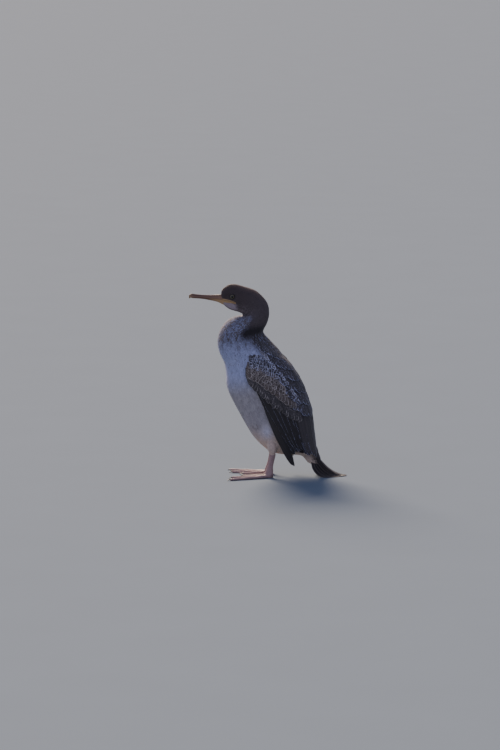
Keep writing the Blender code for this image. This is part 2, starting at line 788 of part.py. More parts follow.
def make_foot(collection, cutters):
    """Four toes in one web, flat under the sole, with an ankle above the heel."""
    pieces = new_pieces("foot_pieces")
    foot = add_to(collection, loft("foot_left", leg_rings(ANKLE_ROWS)))
    for name, turn, length, radius in TOES:
        centres, radii = [], []
        for step in range(TOE_STATIONS + 1):
            part = step / TOE_STATIONS
            x, y = toe_point(turn, length * part)
            knuckle = 1 + KNUCKLE_SWELLING * abs(math.sin(math.pi * TOE_KNUCKLES * part))
            claw = max(0.0, (part * length - (length - CLAW_LENGTH)) / CLAW_LENGTH)
            thick = radius * (1 - TOE_TAPER * part) * knuckle * (1 - CLAW_TAPER * claw)
            centres.append((x, y, TOE_SEAT * thick + CLAW_ARCH * math.sin(math.pi * claw)))
            radii.append(thick)
        add_to(pieces, tube(name, centres, radii, TOE_SIDES))
    add_to(pieces, web_sheet())
    join_all(foot, pieces)
    cut_at_floor(foot, cutters)
    return foot


def web_sheet():
    """The web between the toes, with its free edges drawn in between the claws."""
    rim = [toe_point(TOES[0][1] + WEB_CORNER_TURNS[0], WEB_CORNER_REACH)]
    for (_, turn, length, _), (_, next_turn, next_length, _) in zip(TOES[:-1], TOES[1:]):
        for step in range(WEB_STEPS + 1):
            part = step / WEB_STEPS
            if step == 0 and turn != TOES[0][1]:
                continue
            reach = (length * (1 - part) + next_length * part) - CLAW_LENGTH
            reach *= 1 - WEB_DIP * math.sin(math.pi * part)
            rim.append(toe_point(turn + (next_turn - turn) * part, reach))
    rim.append(toe_point(TOES[-1][1] + WEB_CORNER_TURNS[1], WEB_CORNER_REACH))
    top = [(x, y, WEB_THICKNESS) for x, y in rim]
    bottom = [(x, y, -WEB_UNDERCUT) for x, y in rim]
    count = len(rim)
    faces = [tuple(range(count)), tuple(range(count, 2 * count))]
    for here in range(count):
        after = (here + 1) % count
        faces.append((here, after, count + after, count + here))
    return mesh_object("web", top + bottom, faces)


def make_materials():
    made = {}
    for name, (colour, roughness) in MATERIALS.items():
        material = bpy.data.materials.new(name)
        material.use_nodes = True
        shader = material.node_tree.nodes["Principled BSDF"]
        shader.inputs["Base Color"].default_value = (*colour, 1.0)
        shader.inputs["Roughness"].default_value = roughness
        shader.inputs["Metallic"].default_value = 0.0
        made[name] = material
    return made


def finish(obj, material):
    obj.data.materials.clear()
    obj.data.materials.append(material)
    obj.data.shade_smooth()
    obj.data.set_sharp_from_angle(angle=math.radians(SHARP_ANGLE))


def main():
    for obj in list(bpy.data.objects):
        bpy.data.objects.remove(obj)
    parts = bpy.data.collections.new("cormorant")
    cutters = bpy.data.collections.new("cutters")
    bpy.context.scene.collection.children.link(parts)
    bpy.context.scene.collection.children.link(cutters)
    materials = make_materials()

    torso = add_to(parts, body_length("torso", NECK_END, BODY_END, TORSO_RINGS_PER_ROW))
    neck = add_to(parts, body_length("neck", HEAD_END, NECK_END))
    head = make_head(parts, cutters)
    upper = add_to(parts, loft("bill_upper", smooth_rings(UPPER_BILL_ROWS, bill_ring)))
    lower = add_to(parts, loft("bill_lower", smooth_rings(LOWER_BILL_ROWS, bill_ring)))
    eye = add_to(parts, ball("eye_left", EYE_CENTRE, EYE_RADIUS))
    tail = make_tail(parts, cutters)
    thigh = make_thigh(parts, cutters, torso)
    tarsus = make_tarsus(parts)
    foot = make_foot(parts, cutters)
    wing = make_wing(parts, cutters, (torso, neck, thigh, tail))

    finish(torso, materials["plumage_pale"])
    finish(neck, materials["plumage_dark"])
    finish(head, materials["plumage_dark"])
    finish(upper, materials["bill_horn"])
    finish(lower, materials["bill_horn"])
    finish(tail, materials["wing_brown"])
    for piece, material in (
        (eye, "eye_olive"),
        (wing, "wing_brown"),
        (thigh, "plumage_pale"),
        (tarsus, "leg_skin"),
        (foot, "leg_skin"),
    ):
        finish(piece, materials[material])
        other = mirrored(piece, piece.name.replace("_left", "_right"), parts)
        finish(other, materials[material])


main()
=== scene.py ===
"""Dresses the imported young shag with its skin, plumage, bill, eyes and feet.

The bird faces -Y, its left side is +X and +Z is up. Lengths in this file are in
millimetres unless their name says otherwise, and meshes are made in metres.
"""

import math

import bmesh
import bpy
import numpy as np
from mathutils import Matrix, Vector


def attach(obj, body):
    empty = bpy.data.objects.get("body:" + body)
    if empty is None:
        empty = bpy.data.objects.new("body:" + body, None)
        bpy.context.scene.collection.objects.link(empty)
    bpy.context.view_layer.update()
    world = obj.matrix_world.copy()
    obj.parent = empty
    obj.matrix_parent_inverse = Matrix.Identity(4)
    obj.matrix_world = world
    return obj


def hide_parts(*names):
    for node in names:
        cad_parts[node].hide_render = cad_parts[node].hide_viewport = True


bl_info = {
    "name": "Young shag",
    "version": (1, 0, 0),
    "blender": (4, 5, 0),
    "location": "View3D > Sidebar > Shag",
    "description": "Skin, plumage, bill, eyes and feet of a young shag on a plain floor",
    "category": "Add Mesh",
}

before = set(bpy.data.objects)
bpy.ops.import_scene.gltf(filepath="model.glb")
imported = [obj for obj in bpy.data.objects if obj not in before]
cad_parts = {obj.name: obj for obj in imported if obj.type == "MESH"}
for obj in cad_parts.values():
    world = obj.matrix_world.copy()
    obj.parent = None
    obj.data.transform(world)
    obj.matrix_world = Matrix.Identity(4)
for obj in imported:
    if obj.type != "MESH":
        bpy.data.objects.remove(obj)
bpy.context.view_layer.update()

MM = 0.001
BODY = "root"

# Body rows from the face to the rump: throat or belly point (y, z), crown or back point
# (y, z), half width
BODY_ROWS = (
    (-91.5, 354.0, -97.3, 376.2, 7.4),
    (-88.0, 350.2, -95.8, 385.0, 9.6),
    (-79.5, 344.3, -89.0, 391.6, 12.2),
    (-70.0, 341.0, -78.5, 397.3, 14.3),
    (-60.5, 338.2, -64.0, 397.3, 16.2),
    (-52.0, 334.4, -47.0, 392.6, 17.8),
    (-46.0, 330.8, -26.6, 385.3, 19.2),
    (-45.0, 330.2, -9.6, 371.2, 20.4),
    (-46.5, 330.8, 0.4, 356.2, 21.6),
    (-52.0, 332.2, 3.4, 340.4, 23.4),
    (-66.0, 331.6, 2.4, 327.5, 26.5),
    (-82.0, 324.3, -1.0, 316.0, 30.5),
    (-94.5, 310.8, -5.8, 306.5, 35.0),
    (-102.0, 294.5, -7.5, 297.5, 40.0),
    (-104.8, 277.0, 5.0, 283.0, 45.0),
    (-101.0, 257.0, 20.5, 266.5, 48.5),
    (-92.0, 236.0, 34.0, 249.5, 50.0),
    (-88.0, 215.0, 47.0, 236.0, 50.5),
    (-87.0, 195.0, 58.0, 220.0, 50.5),
    (-82.0, 175.5, 67.0, 203.0, 50.0),
    (-72.0, 153.5, 75.0, 185.5, 48.5),
    (-60.0, 131.0, 82.0, 167.0, 46.5),
    (-47.0, 107.5, 87.0, 147.0, 44.0),
    (-33.0, 85.0, 90.0, 127.0, 41.0),
    (-16.5, 66.3, 91.5, 108.0, 37.0),
    (2.0, 51.5, 92.5, 91.0, 32.5),
    (24.0, 45.0, 94.5, 78.0, 27.5),
    (46.0, 42.5, 98.0, 69.5, 23.0),
    (67.0, 40.0, 101.0, 63.0, 19.0),
    (76.0, 32.5, 104.5, 52.5, 18.0),
    (84.5, 26.0, 107.5, 43.5, 15.5),
    (91.5, 22.5, 109.5, 35.5, 12.0),
    (97.0, 20.5, 111.0, 29.5, 7.5),
)
LAST_ROW = len(BODY_ROWS) - 1
BODY_FULLNESS = 0.92

# Bill rows: mouth line (y, z), outer ridge (y, z), half width
UPPER_BILL_ROWS = (
    (-88.0, 364.2, -90.0, 375.8, 7.6),
    (-94.7, 365.0, -97.6, 375.6, 6.8),
    (-104.0, 366.2, -105.0, 375.2, 5.6),
    (-119.0, 368.0, -119.5, 374.5, 4.3),
    (-135.0, 369.6, -135.5, 375.0, 3.6),
    (-148.0, 370.4, -148.5, 376.2, 3.4),
    (-155.0, 370.2, -156.5, 377.0, 3.2),
    (-159.3, 368.4, -161.3, 374.2, 2.3),
    (-160.6, 366.6, -162.0, 369.5, 1.0),
)
LOWER_BILL_ROWS = (
    (-86.0, 363.8, -84.0, 352.6, 7.6),
    (-94.6, 364.6, -91.9, 354.6, 6.6),
    (-104.0, 365.8, -103.5, 360.0, 5.4),
    (-119.0, 367.6, -118.8, 363.6, 4.0),
    (-135.0, 369.2, -134.8, 366.3, 3.2),
    (-148.0, 370.0, -147.8, 367.4, 2.8),
    (-154.5, 369.8, -154.3, 367.8, 2.0),
    (-157.2, 369.2, -157.1, 368.4, 1.0),
)
GAPE_POINTS = ((-98.0, 365.4), (-88.0, 364.4), (-77.0, 362.6), (-67.0, 359.6))
EYE_CENTRE = np.array([9.9, -73.2, 372.2])
EYE_RADIUS = 5.2

# Folded wing: a surface round a straight axis, with rows of distance down the axis, back's
# distance, centre's distance and half width
WING_TOP = np.array([-46.0, 292.0])
WING_FOOT = np.array([47.0, 33.0])
WING_AXIS = (WING_FOOT - WING_TOP) / np.linalg.norm(WING_FOOT - WING_TOP)
WING_OUT = np.array([-WING_AXIS[1], WING_AXIS[0]])
WING_ROWS = (
    (0.0, 36.0, -4.0, 47.0),
    (40.0, 53.0, -2.0, 54.5),
    (80.0, 69.5, 2.0, 57.5),
    (120.0, 79.5, 6.0, 58.0),
    (160.0, 82.0, 8.0, 56.0),
    (200.0, 79.5, 9.0, 52.0),
    (240.0, 69.0, 10.0, 45.0),
    (280.0, 59.5, 12.0, 36.5),
    (310.0, 56.0, 14.0, 32.0),
)
# Flesh of the wing: distance down the axis, turn of its back and front edges
WING_BED_ROWS = (
    (12.0, 50.0, 78.0),
    (22.0, 34.0, 90.0),
    (40.0, 22.0, 100.0),
    (80.0, 15.0, 108.0),
    (140.0, 14.0, 109.0),
    (190.0, 16.0, 101.5),
    (228.0, 22.0, 98.0),
    (240.0, 34.0, 89.0),
)

# Tail: middle lines (y, z) of the central and of the outermost feather
CENTRAL_TAIL_LINE = (
    (93.0, 50.0), (104.5, 37.5), (115.5, 25.5), (127.0, 15.0), (139.5, 7.5), (151.5, 3.2), (162.2, 1.6)
)
OUTER_TAIL_LINE = (
    (90.0, 38.5), (92.5, 28.0), (96.5, 18.0), (102.0, 10.0), (109.5, 5.0), (118.5, 2.2), (128.0, 0.9)
)

# Left leg rows: middle (x, y, z), half width, half depth
THIGH_ROWS = (
    (15.0, 7.0, 90.0, 6.0, 9.0),
    (21.5, 7.5, 75.0, 12.0, 13.0),
    (26.0, 8.5, 62.0, 12.0, 11.5),
    (27.0, 9.0, 53.0, 8.6, 9.2),
    (27.0, 9.3, 46.5, 5.4, 7.4),
)
SHANK_ROWS = (
    (27.0, 9.6, 58.0, 3.6, 5.4),
    (27.0, 9.1, 46.2, 4.3, 6.4),
    (27.0, 7.6, 38.0, 3.7, 6.0),
    (27.0, 5.6, 28.0, 3.5, 5.8),
    (27.0, 3.6, 19.5, 4.0, 6.4),
    (27.0, 2.6, 14.7, 4.8, 7.4),
    (27.0, 2.2, 10.0, 6.0, 8.6),
    (27.0, 1.6, 5.0, 7.0, 9.4),
    (27.0, 1.4, 0.6, 6.4, 8.8),
)
HEEL = np.array([29.0, 3.0])
# Toes: name, turn outwards from straight ahead, length with its claw, radius at the root
TOES = (
    ("hallux", -60.0, 29.0, 3.2),
    ("inner", -16.0, 64.0, 3.7),
    ("middle", 5.0, 84.0, 3.9),
    ("outer", 24.0, 95.0, 4.0),
)
CLAW_LENGTH = 9.0

# Camera: millimetres of the bird to a pixel of the picture, which is 500 by 750
PICTURE = (500, 750)
PIXEL = 2.05
VIEW_ELEVATION = 8.0
LENS = 200.0
SENSOR = 36.0
AIM = (0.0, -36.9, 209.1)


def colour(name, text, default):
    return bpy.props.FloatVectorProperty(
        name=name, description=text, subtype="COLOR", size=3, min=0.0, max=1.0, default=default
    )


def length(name, text, default, top=0.05):
    return bpy.props.FloatProperty(
        name=name, description=text, unit="LENGTH", min=0.0, max=top, precision=5, default=default
    )


class ShagSizes(bpy.types.PropertyGroup):
    """Sizes of what grows on the solids, in metres."""

    skin_cell: length("Skin cell", "Size of the skin mesh's faces", 0.0015)
    face_depth: length("Face depth", "How far the skin lies under the solids at the face", 0.0006)
    body_depth: length("Body depth", "How far the skin lies under the solids on the body", 0.0024)
    head_spacing: length("Head spacing", "Distance between feathers of the head", 0.00085)
    neck_spacing: length("Neck spacing", "Distance between feathers of the neck", 0.00115)
    breast_spacing: length("Breast spacing", "Distance between feathers of the breast", 0.00150)
    belly_spacing: length("Belly spacing", "Distance between feathers of the belly", 0.0019)
    back_spacing: length("Back spacing", "Distance between feathers of the back", 0.0021)
    vane_thickness: length("Vane thickness", "Thickness of wing and tail feathers", 0.00035)
    leg_cell: length("Leg cell", "Size of the leg mesh's faces", 0.0008)


class ShagColours(bpy.types.PropertyGroup):
    """Colours of the plumage and the bare parts."""

    crown: colour("Crown", "Crown and nape", (0.060, 0.043, 0.041))
    collar: colour("Collar", "Darkest band at the foot of the neck", (0.016, 0.013, 0.014))
    neck: colour("Neck", "Sides of the neck", (0.080, 0.063, 0.063))
    mottle: colour("Mottle", "Dark flecks of the throat and breast", (0.085, 0.068, 0.064))
    # Breast: pale feathers tinted blue, the blue being painted sky light in shade
    breast: colour("Breast", "Breast", (0.41, 0.44, 0.63))
    belly: colour("Belly", "Belly", (0.39, 0.36, 0.37))
    vent: colour("Vent", "Warm feathers round the legs", (0.68, 0.53, 0.42))
    chin: colour("Chin", "Chin patch", (0.36, 0.29, 0.31))
    # Edge sheen: pale edges of scapulars and flight feathers tinted blue, a painted sheen of sky light
    edge_sheen: colour("Edging", "Dull edges of scapulars and flight feathers", (0.44, 0.45, 0.64))
    back: colour("Back", "Back between the wings", (0.045, 0.038, 0.036))
    covert: colour("Covert", "Wing coverts", (0.095, 0.072, 0.060))
    fringe: colour("Fringe", "Pale edges of the wing coverts", (0.47, 0.41, 0.385))
    shoulder: colour("Shoulder", "Whitish edges of the lesser coverts", (0.56, 0.57, 0.72))
    scapular: colour("Scapular", "Scapulars", (0.046, 0.038, 0.038))
    flight: colour("Flight", "Flight and tail feathers", (0.026, 0.021, 0.020))
    bill: colour("Bill", "Horn of the bill", (0.15, 0.068, 0.042))
    bill_base: colour("Bill base", "Foot of the lower bill", (0.42, 0.26, 0.12))
    gape: colour("Gape", "Bare skin round the mouth", (0.42, 0.27, 0.12))
    lid: colour("Lid", "Bare lids", (0.060, 0.052, 0.048))
    iris: colour("Iris", "Iris", (0.17, 0.15, 0.085))
    leg: colour("Leg", "Skin of legs and feet", (0.40, 0.26, 0.24))
    claw: colour("Claw", "Claws", (0.035, 0.026, 0.023))
    floor: colour("Floor", "Floor", (0.155, 0.195, 0.235))


# Numbers and curves


def through(rows, at):
    """Values on smooth curves through the rows, whose first column is the place along them."""
    rows = np.asarray(rows, float)
    keys, values = rows[:, 0], rows[:, 1:]
    at = np.asarray(at, float)
    steps = np.diff(keys)[:, None]
    slopes = np.diff(values, axis=0) / steps
    tangents = np.empty_like(values)
    tangents[0], tangents[-1] = slopes[0], slopes[-1]
    tangents[1:-1] = (slopes[:-1] * steps[:-1] + slopes[1:] * steps[1:]) / (steps[:-1] + steps[1:])
    span = np.clip(np.searchsorted(keys, at, side="right") - 1, 0, len(keys) - 2)
    step = (keys[span + 1] - keys[span])[..., None]
    part = (at - keys[span])[..., None] / step
    return (
        (2 * part**3 - 3 * part**2 + 1) * values[span]
        + (part**3 - 2 * part**2 + part) * step * tangents[span]
        + (3 * part**2 - 2 * part**3) * values[span + 1]
        + (part**3 - part**2) * step * tangents[span + 1]
    )


def numbered(rows):
    return [(place, *row) for place, row in enumerate(rows)]


def spaced(line, place):
    """Points at parts of the way along a smooth line of points."""
    return through(numbered(line), np.asarray(place, float) * (len(line) - 1))


def unit(vectors):
    return vectors / np.maximum(np.linalg.norm(vectors, axis=-1, keepdims=True), 1e-12)


def rise(low, high, value):
    """0 below low, 1 above high, and smooth between."""
    part = np.clip((value - low) / (high - low), 0.0, 1.0)
    return part * part * (3 - 2 * part)


def hump(centre, width, value):
    return np.exp(-(((value - centre) / width) ** 2))


def mixed(first, second, part):
    """Rows of colours part of the way from the first to the second."""
    part = np.asarray(part, float)[..., None]
    return np.asarray(first, float) * (1 - part) + np.asarray(second, float) * part


# Meshes


def mesh_of(name, points, faces):
    mesh = bpy.data.meshes.new(name)
    mesh.from_pydata((np.asarray(points) * MM).tolist(), [], [tuple(face) for face in faces])
    mesh.update()
    return mesh


def object_of(name, mesh):
    obj = bpy.data.objects.new(name, mesh)
    bpy.context.scene.collection.objects.link(obj)
    return obj


def store(mesh, name, kind, values, domain="POINT"):
    """Write an attribute of the mesh, one value or row of values for each element."""
    attribute = mesh.attributes.get(name) or mesh.attributes.new(name, kind, domain)
    field = {"FLOAT": "value", "FLOAT_COLOR": "color", "FLOAT_VECTOR": "vector", "FLOAT2": "vector"}[kind]
    values = np.asarray(values, np.float32)
    if kind == "FLOAT_COLOR":
        values = np.concatenate([values, np.ones((len(values), 1), np.float32)], axis=1)
    attribute.data.foreach_set(field, values.ravel())


def points_of(mesh):
    points = np.empty(len(mesh.vertices) * 3)
    mesh.vertices.foreach_get("co", points)
    return points.reshape(-1, 3) / MM


def move_points(mesh, points):
    mesh.vertices.foreach_set("co", (np.asarray(points) * MM).ravel())
    mesh.update()


def normals_of(mesh):
    normals = np.empty(len(mesh.vertices) * 3)
    mesh.vertex_normals.foreach_get("vector", normals)
    return normals.reshape(-1, 3)


def turned_outwards(mesh):
    work = bmesh.new()
    work.from_mesh(mesh)
    bmesh.ops.recalc_face_normals(work, faces=work.faces)
    work.to_mesh(mesh)
    work.free()
    mesh.update()


def ring_faces(count, sides, first=0):
    """Faces of a closed loft of so many rings, with flat ends."""
    faces = []
    for level in range(count - 1):
        for side in range(sides):
            here, beside = first + level * sides + side, first + level * sides + (side + 1) % sides
            faces.append((here, beside, beside + sides, here + sides))
    faces.append(tuple(first + side for side in range(sides)))
    faces.append(tuple(first + (count - 1) * sides + side for side in range(sides)))
    return faces


def joined_rings(bodies):
    """Points and faces of several closed lofts, each a list of rings."""
    points, faces = [], []
    for rings in bodies:
        faces += ring_faces(len(rings), len(rings[0]), len(points))
        for ring in rings:
            points += [tuple(point) for point in ring]
    return points, faces


def evaluated(obj):
    """The object's mesh with its modifiers applied, and the modifiers removed."""
    bpy.context.view_layer.update()
    graph = bpy.context.evaluated_depsgraph_get()
    mesh = bpy.data.meshes.new_from_object(obj.evaluated_get(graph))
    old = obj.data
    obj.modifiers.clear()
    obj.data = mesh
    bpy.data.meshes.remove(old)
    return mesh


def fused(name, points, faces, cell, smoothing):
    """One even mesh round closed bodies that overlap."""
    mesh = mesh_of(name, points, faces)
    turned_outwards(mesh)
    obj = object_of(name, mesh)
    remesh = obj.modifiers.new("Even", "REMESH")
    remesh.mode = "VOXEL"
    remesh.voxel_size = cell
    smooth = obj.modifiers.new("Soft", "SMOOTH")
    smooth.factor = 0.5
    smooth.iterations = smoothing
    mesh = evaluated(obj)
    keep_largest(mesh)
    return obj


def keep_largest(mesh):
    """Drop every surface of the mesh but the one with the most faces."""
    work = bmesh.new()
    work.from_mesh(mesh)
    left = set(work.verts)
    best = set()
    while left:
        island, front = set(), [left.pop()]
        while front:
            vert = front.pop()
            island.add(vert)
            for edge in vert.link_edges:
                other = edge.other_vert(vert)
                if other in left:
                    left.discard(other)
                    front.append(other)
        best = max(best, island, key=len)
    bmesh.ops.delete(work, geom=[vert for vert in work.verts if vert not in best], context="VERTS")
    work.to_mesh(mesh)
    work.free()


def finish_piece(obj, material, slot, *nodes):
    """Give the piece its material and smooth shading, and hand it to the frame."""
    obj.data.materials.clear()
    obj.data.materials.append(material)
    obj.data.shade_smooth()
    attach(obj, BODY)
    if nodes:
        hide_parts(*nodes)
    return obj


# Nodes


class Value:
    """A socket that can be added, subtracted, multiplied, divided and raised."""

    def __init__(self, tree, socket):
        self.tree = tree
        self.socket = socket

    def math(self, operation, *others, clamp=False):
        sockets = {0: self}
        sockets.update({place + 1: other for place, other in enumerate(others)})
        settings = {"operation": operation, "use_clamp": clamp}
        return Value(self.tree, add_node(self.tree, "ShaderNodeMath", settings, sockets).outputs[0])

    def __add__(self, other):
        return self.math("ADD", other)

    __radd__ = __add__

    def __mul__(self, other):
        return self.math("MULTIPLY", other)

    __rmul__ = __mul__

    def __sub__(self, other):
        return self.math("SUBTRACT", other)

    def __rsub__(self, other):
        return (self * -1.0) + other

    def __truediv__(self, other):
        return self.math("DIVIDE", other)

    def __pow__(self, other):
        return self.math("POWER", other)

    def between(self, low, high):
        """0 where the value is below low and 1 where it is above high."""
        settings = {"interpolation_type": "SMOOTHSTEP"}
        sockets = {"Value": self, "From Min": low, "From Max": high}
        return Value(self.tree, add_node(self.tree, "ShaderNodeMapRange", settings, sockets).outputs[0])


def add_node(tree, kind, settings=None, sockets=None):
    """Any node: its settings are set first, then its sockets' values or links."""
    node = tree.nodes.new(kind)
    for name, value in (settings or {}).items():
        setattr(node, name, value)
    for key, value in (sockets or {}).items():
        value = value.socket if isinstance(value, Value) else value
        if isinstance(value, bpy.types.NodeSocket):
            tree.links.new(value, node.inputs[key])
        else:
            node.inputs[key].default_value = value
    return node


class Finish:
    """One material with its Principled shader."""

    def __init__(self, name, **constants):
        self.material = bpy.data.materials.new(name)
        self.material.use_nodes = True
        self.tree = self.material.node_tree
        self.shader = self.tree.nodes["Principled BSDF"]
        for socket, value in constants.items():
            self.shader.inputs[socket.replace("_", " ")].default_value = value

    def value(self, kind, settings=None, sockets=None, output=0):
        return Value(self.tree, add_node(self.tree, kind, settings, sockets).outputs[output])

    def attribute(self, name):
        return self.value("ShaderNodeAttribute", {"attribute_name": name}, output="Fac")

    def colours(self, name):
        return self.value("ShaderNodeAttribute", {"attribute_name": name}, output="Color")

    def place(self, stretch=(1.0, 1.0, 1.0)):
        """Object coordinates in millimetres, stretched."""
        here = self.value("ShaderNodeTexCoord", output="Object")
        scale = tuple(1000.0 * part for part in stretch)
        return self.value("ShaderNodeVectorMath", {"operation": "MULTIPLY"}, {0: here, 1: scale})

    def noise(self, size, stretch=(1.0, 1.0, 1.0), detail=3.0):
        """Noise from 0 to 1 whose lumps are about size across."""
        sockets = {"Vector": self.place(stretch), "Scale": 1.0 / size, "Detail": detail}
        return self.value("ShaderNodeTexNoise", None, sockets)

    def mix(self, first, second, part):
        first = (*first, 1.0) if isinstance(first, tuple) else first
        second = (*second, 1.0) if isinstance(second, tuple) else second
        settings = {"data_type": "RGBA"}
        return self.value("ShaderNodeMix", settings, {0: part, 6: first, 7: second}, output=2)

    def brightened(self, base, amount):
        """The colour times a number, which may change over the surface."""
        sockets = {"Color": base, "Value": amount}
        return self.value("ShaderNodeHueSaturation", None, sockets)

    def join(self, **sockets):
        for name, value in sockets.items():
            self.tree.links.new(value.socket, self.shader.inputs[name.replace("_", " ")])

    def bump(self, height, strength, depth):
        sockets = {"Height": height, "Strength": strength, "Distance": depth * MM}
        self.join(Normal=self.value("ShaderNodeBump", None, sockets))


# The body's own coordinates


def body_place(points):
    """For each point: its row along the body, and its height there from belly (0) to back (1)."""
    at = np.linspace(0, LAST_ROW, LAST_ROW * 12 + 1)
    rows = through(numbered(BODY_ROWS), at)
    under, reach = rows[:, 0:2], rows[:, 2:4] - rows[:, 0:2]
    size = np.linalg.norm(reach, axis=1)
    along, height = np.empty(len(points)), np.empty(len(points))
    for first in range(0, len(points), 8000):
        here = points[first:first + 8000, 1:3]
        off_y = here[:, 0, None] - under[None, :, 0]
        off_z = here[:, 1, None] - under[None, :, 1]
        up = (off_y * reach[:, 0] + off_z * reach[:, 1]) / size**2
        miss = np.abs(off_y * reach[:, 1] - off_z * reach[:, 0]) / size
        miss += 4 * size * (np.maximum(0, -up) + np.maximum(0, up - 1))
        best = miss.argmin(axis=1)
        along[first:first + 8000] = at[best]
        height[first:first + 8000] = up[np.arange(len(here)), best]
    return along, np.clip(height, 0.0, 1.0)


def body_lie(points, along, height):
    """The direction from the bill to the tail beside the body's middle plane."""
    step = 0.15
    before = through(numbered(BODY_ROWS), np.clip(along - step, 0, LAST_ROW))
    after = through(numbered(BODY_ROWS), np.clip(along + step, 0, LAST_ROW))
    change = (after - before)[:, 0:2] * (1 - height)[:, None] + (after - before)[:, 2:4] * height[:, None]
    lie = unit(np.column_stack([np.zeros(len(points)), change]))
    on_thigh = thigh_mask(points)[:, None]
    return unit(lie * (1 - on_thigh) + np.array([0.0, 0.1, -1.0]) * on_thigh)


def lie_of(points, normals, along, height):
    """The direction in which the plumage lies on the skin."""
    lie = body_lie(points, along, height)
    flat = lie - normals * (lie * normals).sum(axis=1, keepdims=True)
    return unit(flat)


def thigh_mask(points):
    off = (points - np.array([26.0, 6.0, 58.0])) * np.array([1.0, 1.0, 0.8])
    off[:, 0] = np.abs(points[:, 0]) - 26.0
    return 1 - rise(13.0, 19.0, np.linalg.norm(off, axis=1))


def from_line(points, line):
    """Distance in the side view from each point to a smooth line, and the part of the way along it."""
    parts = np.linspace(0, 1, 60)
    path = spaced(line, parts)
    off = points[:, None, 1:3] - path[None]
    apart = np.linalg.norm(off, axis=2)
    best = apart.argmin(axis=1)
    return apart[np.arange(len(points)), best], parts[best]


def eye_distance(points):
    """Distance from the eye's axis, in the side view."""
    return np.hypot(points[:, 1] - EYE_CENTRE[1], points[:, 2] - EYE_CENTRE[2])


def wing_coordinates(points):
    """Distance down the wing's axis, turn round it and share of the surface's distance."""
    off = points[:, 1:3] - WING_TOP
    down = np.clip(off @ WING_AXIS, WING_ROWS[0][0], WING_ROWS[-1][0])
    back, centre, half_width = through(WING_ROWS, down).T
    up = ((off @ WING_OUT) - centre) / (back - centre)
    across = np.abs(points[:, 0]) / half_width
    return off @ WING_AXIS, np.degrees(np.arctan2(across, up)), np.hypot(across, up)


def under_wing(points):
    """1 where the wing's own feathers cover the skin."""
    down, turn, share = wing_coordinates(points)
    back = np.interp(down, (34, 48, 66, 140, 228, 265), (60, 42, 30, 18, 24, 30))
    front = np.interp(down, (42, 58, 90, 140, 200, 262), (82, 97, 109, 108, 105, 102))
    start = np.interp(turn, (60, 66), (35, 43)) + 8 * speckle(points, 9.0, 11) * (turn > 66)
    inside = (turn > back) & (turn < front) & (down > start) & (down < 268)
    return (inside & (share > 0.55)).astype(float)


# Plumage markings, shared by the skin and the feathers


def speckle(points, size, seed):
    """Smooth random numbers from 0 to 1 over space, in lumps about size across."""
    rng = np.random.default_rng(seed)
    total = np.zeros(len(points))
    for _ in range(7):
        direction = unit(rng.normal(size=3))
        total += np.sin(points @ direction * 2 * math.pi / size / rng.uniform(0.8, 1.7) + rng.uniform(0, 6.3))
    return 0.5 + 0.5 * np.tanh(total / 1.9)


